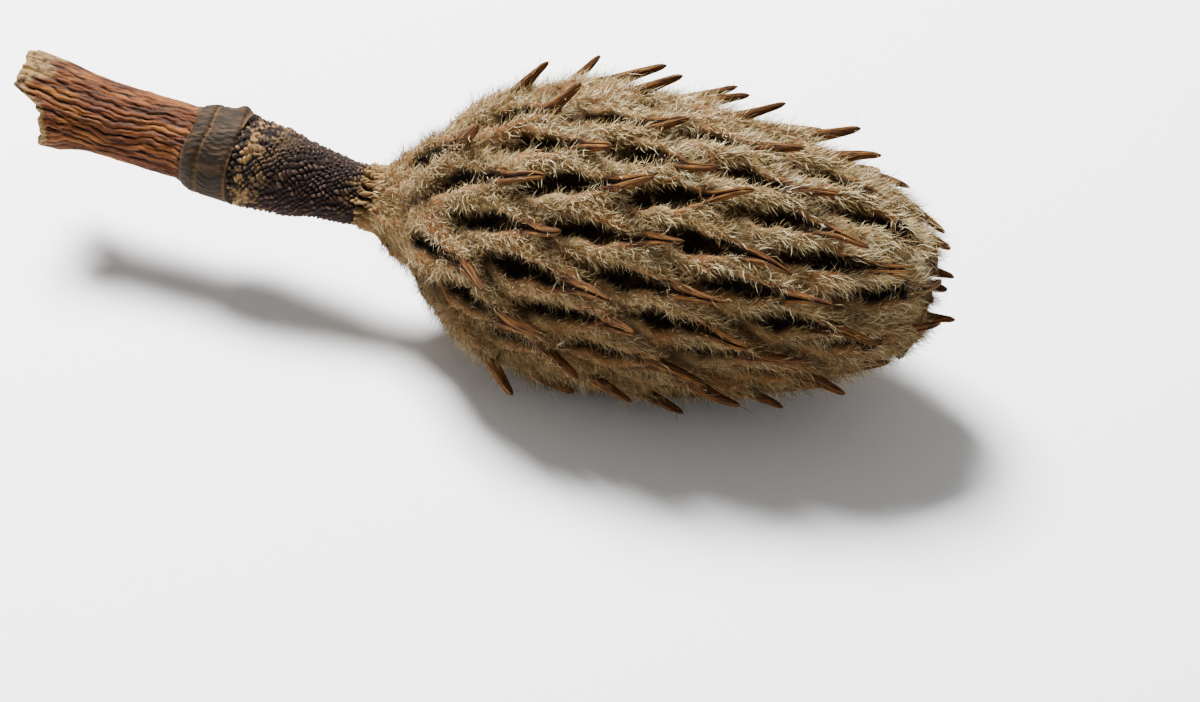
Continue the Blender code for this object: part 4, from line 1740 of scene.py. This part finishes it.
@dataclass
class Stalk:
    """The cut stalk: wrinkled bark, a faceted collar of two plates, a bud scar and a torn end."""

    axis: PodAxis
    length: float = 33.0 * MM
    collar_start: float = 25.6 * MM
    end_radius: float = 6.4 * MM
    waist_radius: float = 5.2 * MM
    collar_radius: float = 6.3 * MM
    rows: int = 130
    columns: int = 264
    torn_rings: tuple[float, ...] = (0.97, 0.88, 0.74, 0.58, 0.42, 0.26, 0.12)
    torn_middle: float = 1.2 * MM
    flare_length: float = 11.0 * MM
    swelling_length: float = 4.0 * MM
    # the torn end: turn of the side that juts out, then how far its edge stands back, how far that side
    # juts and how far along the bark the edge's shape reaches, in millimetres
    jutting_angle: float = 0.67
    set_back: float = 3.2
    jutting: float = 5.2
    fraying_reach: float = 9.0
    # the collar's edge, seams and bud scar, in millimetres from the broken end, and the scar's angle
    collar_edge: float = 24.9
    seam_places: tuple[float, ...] = (25.3, 28.1, 32.6)
    seam_width: float = 0.22
    bud_place: float = 31.4
    bud_angle: float = -0.45
    facets: int = 6

    def _radius(self, along: Array) -> Array:
        """Work out the plain radius: flared at the torn end, slim in the middle, swollen at the collar.

        Args:
            along: Distances from the broken end.

        Returns:
            Radii without relief.
        """
        flare = 1.0 - smooth_step(along / self.flare_length)
        swelling = smooth_step((along - self.collar_start) / self.swelling_length + 0.5)
        radius = self.waist_radius + (self.end_radius - self.waist_radius) * flare
        return radius + (self.collar_radius - self.waist_radius) * swelling

    def _torn_shift(self, angle: Array) -> Array:
        """Work out how far the torn edge stands back: one side juts out, with small jags.

        Args:
            angle: Angles round the axis.

        Returns:
            Distances along the axis.
        """
        jutting = smooth_step((np.cos(angle + self.jutting_angle) + 0.15) / 0.42)
        jags = 0.5 * np.sin(5.0 * angle) + 0.2 * np.sin(11.0 * angle + 1.0) + 0.12 * np.sin(23.0 * angle)
        return (self.set_back - self.jutting * jutting + jags) * MM

    def _bark(self, way: Array, angle: Array) -> Array:
        """Work out the height of the bark's wrinkles.

        Powers of |sin| of whole multiples of the angle leave thin furrows between rounded
        ridges. Their phases wander along the stalk, and the finer ridges die out here and there.

        Args:
            way: Distances from the start, in millimetres.
            angle: Angles round the axis.

        Returns:
            Heights from 0 to 1.
        """
        wander = 0.06 * np.sin(0.31 * way + np.sin(2.0 * angle)) + 0.016 * np.sin(1.5 * way + 3.0 * angle)
        wander = wander + 0.008 * np.sin(3.7 * way - 5.0 * angle)
        broad = np.abs(np.sin(8.0 * (angle + wander) + 0.4 * np.sin(0.5 * way))) ** 0.5
        middle = np.abs(np.sin(17.0 * (angle + 1.3 * wander) + 0.7 * np.sin(0.6 * way + 2.0 * angle))) ** 0.5
        fine = np.abs(np.sin(27.0 * (angle + 0.8 * wander) + 0.9 * np.sin(0.9 * way + 4.0 * angle))) ** 0.5
        dying = 0.5 + 0.5 * np.sin(0.8 * way + 7.0 * angle + 2.0 * np.sin(0.37 * way))
        return 0.22 * broad + 0.40 * middle + 0.38 * (fine * dying + 0.7 * (1.0 - dying))

    def _collar(self, way: Array, angle: Array) -> tuple[Array, Array, Array]:
        """Shape the collar.

        Two plates with a seam before, between and after them, cut by facets, and a small bud
        scar on top. Seams and scar are bell curves, and a facet is 1 / cos of the angle from its
        middle.

        Args:
            way: Distances from the start, in millimetres.
            angle: Angles round the axis.

        Returns:
            Share of the collar, its relief in millimetres and the share of its seams.
        """
        sway = 0.5 * np.sin(2.0 * angle + 0.5) + 0.3 * np.sin(5.0 * angle)
        share = smooth_step((way - self.collar_edge - sway) / 0.5)
        from_seams = ((way - place - 0.6 * sway) / self.seam_width for place in self.seam_places)
        seams = sum(np.exp(-(apart**2)) for apart in from_seams)
        wedge = np.mod(angle + 0.12 * way, 2.0 * np.pi / self.facets) - np.pi / self.facets
        facets = 0.35 * (1.0 / np.cos(wedge) - 1.07) / 0.08
        grain = 0.10 * np.abs(np.sin(23.0 * angle + 1.5 * np.sin(1.4 * way)))
        from_bud = angle - 2.0 * np.pi - self.bud_angle
        bud = 0.9 * np.exp(-(((way - self.bud_place) / 1.1) ** 2) - (from_bud / 0.2) ** 2)
        relief = share * (0.35 + 0.22 * facets + grain) + bud - 0.42 * seams
        return share, relief, np.clip(seams, 0.0, 1.0)

    def build(self) -> bpy.types.Object:
        """Build the stalk.

        The bark is a tube with its relief. The torn end is rings that shrink and step in and out
        by sines of the angle.

        Returns:
            The piece.
        """
        along = np.linspace(0.0, self.length, self.rows)[:, None]
        angle = ring_angles(self.columns)
        way = along / MM
        bark = self._bark(way, angle)
        collar, collar_relief, seams = self._collar(way, angle)
        lobes = 0.25 * np.cos(3.0 * angle + 1.0) + 0.2 * np.sin(2.0 * angle)
        relief = (lobes + (1.0 - collar) * (0.95 * bark - 0.55) + collar_relief) * MM
        radius = self._radius(along) + relief
        shift = self._torn_shift(angle) * (1.0 - np.clip(way / self.fraying_reach, 0.0, 1.0))
        tube = self.axis.around(along + shift, radius, angle)
        shares = np.array(self.torn_rings)[:, None]
        deep = self._torn_shift(angle) * (0.35 + 0.65 * shares) + (1.0 - shares) * 0.6 * MM
        deep = deep + 0.5 * MM * np.sin(7.0 * angle + 9.0 * shares) * np.sin(np.pi * shares)
        deep = deep + 0.3 * MM * np.sin(17.0 * angle - 14.0 * shares) * shares
        torn = self.axis.around(deep, radius[:1] * shares, angle)
        points = np.vstack([torn[::-1].reshape(-1, 3), tube.reshape(-1, 3)])
        ends = self.axis.frame(np.array([self.torn_middle, self.length]))[0]
        jutting = smooth_step((np.cos(angle + self.jutting_angle) - 0.1) / 0.6)
        reach = 0.5 + 0.5 * bark + 2.3 * jutting + 0.4 * np.sin(9.0 * angle)
        ridges = np.clip(1.25 * bark - 0.2, 0.0, 1.0)
        # each value on the torn rings, and on the tube
        values = {
            "height": (1.0, ridges * (1.0 - collar) + collar * (1.0 - 0.6 * seams)),
            "torn": (1.0, 1.0 - smooth_step((way - reach) / 0.9)),
            "collar": (0.0, collar),
            "seam": (0.0, seams * collar),
        }
        inner, outer = np.ones((len(self.torn_rings), self.columns)), np.ones_like(radius)
        rows = {key: np.vstack([a * inner, b * outer]).ravel() for key, (a, b) in values.items()}
        parts = MeshParts()
        parts.add(
            np.vstack([points, ends]),
            tube_faces(self.rows + len(self.torn_rings), self.columns),
            **{key: np.append(row, row[[0, -1]]) for key, row in rows.items()},
        )
        return parts.make("wrinkled_stalk")


@dataclass(frozen=True)
class Lamp:
    """One soft square light that faces the pod: its place, the side of the square and its power."""

    name: str
    place: tuple[float, float, float]
    size: float
    watts: float

    def hang(self) -> None:
        """Add the light to the scene."""
        data = bpy.data.lights.new(self.name, "AREA")
        data.size = self.size
        data.energy = self.watts
        lamp = bpy.data.objects.new(self.name, data)
        lamp.location = Vector(self.place)
        lamp.rotation_euler = Vector(-np.array(self.place)).to_track_quat("-Z", "Y").to_euler()
        bpy.context.scene.collection.objects.link(lamp)


@dataclass(frozen=True)
class Studio:
    """Pale floor, soft lights and the camera, at the photograph's viewing angle."""

    azimuth_deg: float = 17.4
    elevation_deg: float = 40.0
    metres_to_pixel: float = 0.14 * MM
    neck_pixel: tuple[float, float] = (385.0, 200.0)
    frame_pixels: tuple[float, float] = (1200.0, 702.0)
    lens: float = 120.0
    sensor: float = 36.0
    clip_start: float = 10.0 * MM
    lamps: tuple[Lamp, ...] = (
        Lamp("key", (-0.26, 0.25, 0.60), 0.25, 30.0),
        Lamp("fill", (0.45, -0.55, 0.45), 0.7, 0.6),
    )
    sky: float = 0.32
    floor_half: float = 3.0
    floor_under: float = 0.2 * MM
    floor_grey: Colour = (0.90, 0.90, 0.90)
    floor_light: Colour = (0.93, 0.93, 0.93)
    floor_roughness: float = 0.9

    def _directions(self) -> tuple[Array, Array, Array]:
        """Work out the view's own directions.

        Returns:
            Right, up and forward.
        """
        turn, tilt = math.radians(self.azimuth_deg), math.radians(self.elevation_deg)
        right = np.array([math.cos(turn), math.sin(turn), 0.0])
        level = math.cos(tilt)
        forward = np.array([-math.sin(turn) * level, math.cos(turn) * level, -math.sin(tilt)])
        return right, np.cross(right, forward), forward

    def place_camera(self, neck: Array) -> None:
        """Put the camera where the neck falls on its own pixel.

        Args:
            neck: The neck's place on the axis.
        """
        right, up, forward = self._directions()
        across = (self.frame_pixels[0] / 2.0 - self.neck_pixel[0]) * self.metres_to_pixel
        down = (self.frame_pixels[1] / 2.0 - self.neck_pixel[1]) * self.metres_to_pixel
        distance = self.frame_pixels[0] * self.metres_to_pixel * self.lens / self.sensor
        data = bpy.data.cameras.new("camera")
        data.lens = self.lens
        data.sensor_width = self.sensor
        data.clip_start = self.clip_start
        camera = bpy.data.objects.new("camera", data)
        target = neck + right * across - up * down
        camera.location = Vector(target - forward * distance)
        camera.rotation_euler = Vector(forward).to_track_quat("-Z", "Y").to_euler()
        bpy.context.scene.collection.objects.link(camera)
        bpy.context.scene.camera = camera

    def lay_floor(self) -> None:
        """Lay a wide pale floor just under the pod."""
        half = self.floor_half
        corners = [(-half, -half), (half, -half), (half, half), (-half, half)]
        mesh = bpy.data.meshes.new("floor")
        mesh.from_pydata([(x, y, -self.floor_under) for x, y in corners], [], [(0, 1, 2, 3)])
        floor = bpy.data.objects.new("floor", mesh)
        bpy.context.scene.collection.objects.link(floor)
        nodes = Nodes("pale_floor", self.floor_roughness)
        soft = nodes.noise(nodes.places(), 3.0)
        mesh.materials.append(nodes.paint(nodes.mix(soft, self.floor_grey, self.floor_light)))

    def build(self, neck: Array) -> None:
        """Lay the floor, hang the lights and place the camera.

        Args:
            neck: The neck's place on the axis.
        """
        self.lay_floor()
        self.place_camera(neck)
        for lamp in self.lamps:
            lamp.hang()
        world = bpy.data.worlds.new("studio")
        world.use_nodes = True
        shade = world.node_tree.nodes["Background"]
        shade.inputs["Color"].default_value = (1.0, 1.0, 1.0, 1.0)
        shade.inputs["Strength"].default_value = self.sky
        bpy.context.scene.world = world


def main() -> None:
    """Build every piece in order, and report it."""
    logging.basicConfig(level=logging.INFO, format="%(name)s: %(message)s")
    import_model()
    axis = PodAxis()
    outline = HeadOutline()
    cases = CaseSpiral().cases(outline)
    placer = CasePlacer(axis, outline)
    settle(Stalk(axis).build(), BarkFinish().make(), Node.STALK)
    settle(ScarBand(axis).build(), ScarFinish().make(), Node.BAND)
    neck, shoulder = NeckAndCore(axis, outline, cases).build()
    settle(neck, NeckFinish().make(), Node.HEAD)
    husks, surface = SeedHusks(placer, cases).build()
    settle(husks, HuskFinish().make(), Node.HEAD)
    beaks, roots = Beaks(placer, cases).build()
    settle(beaks, BeakFinish().make(), Node.HEAD)
    fleece = Wool(surface.with_more(roots).with_more(shoulder), axis)
    wool = WoolFinish().make()
    for piece in (*fleece.build(), NeckWool(axis, outline).build()):
        settle(piece, wool, Node.HEAD)
    Studio().build(axis.frame(np.array(outline.start))[0])


if __name__ == "__main__":
    main()
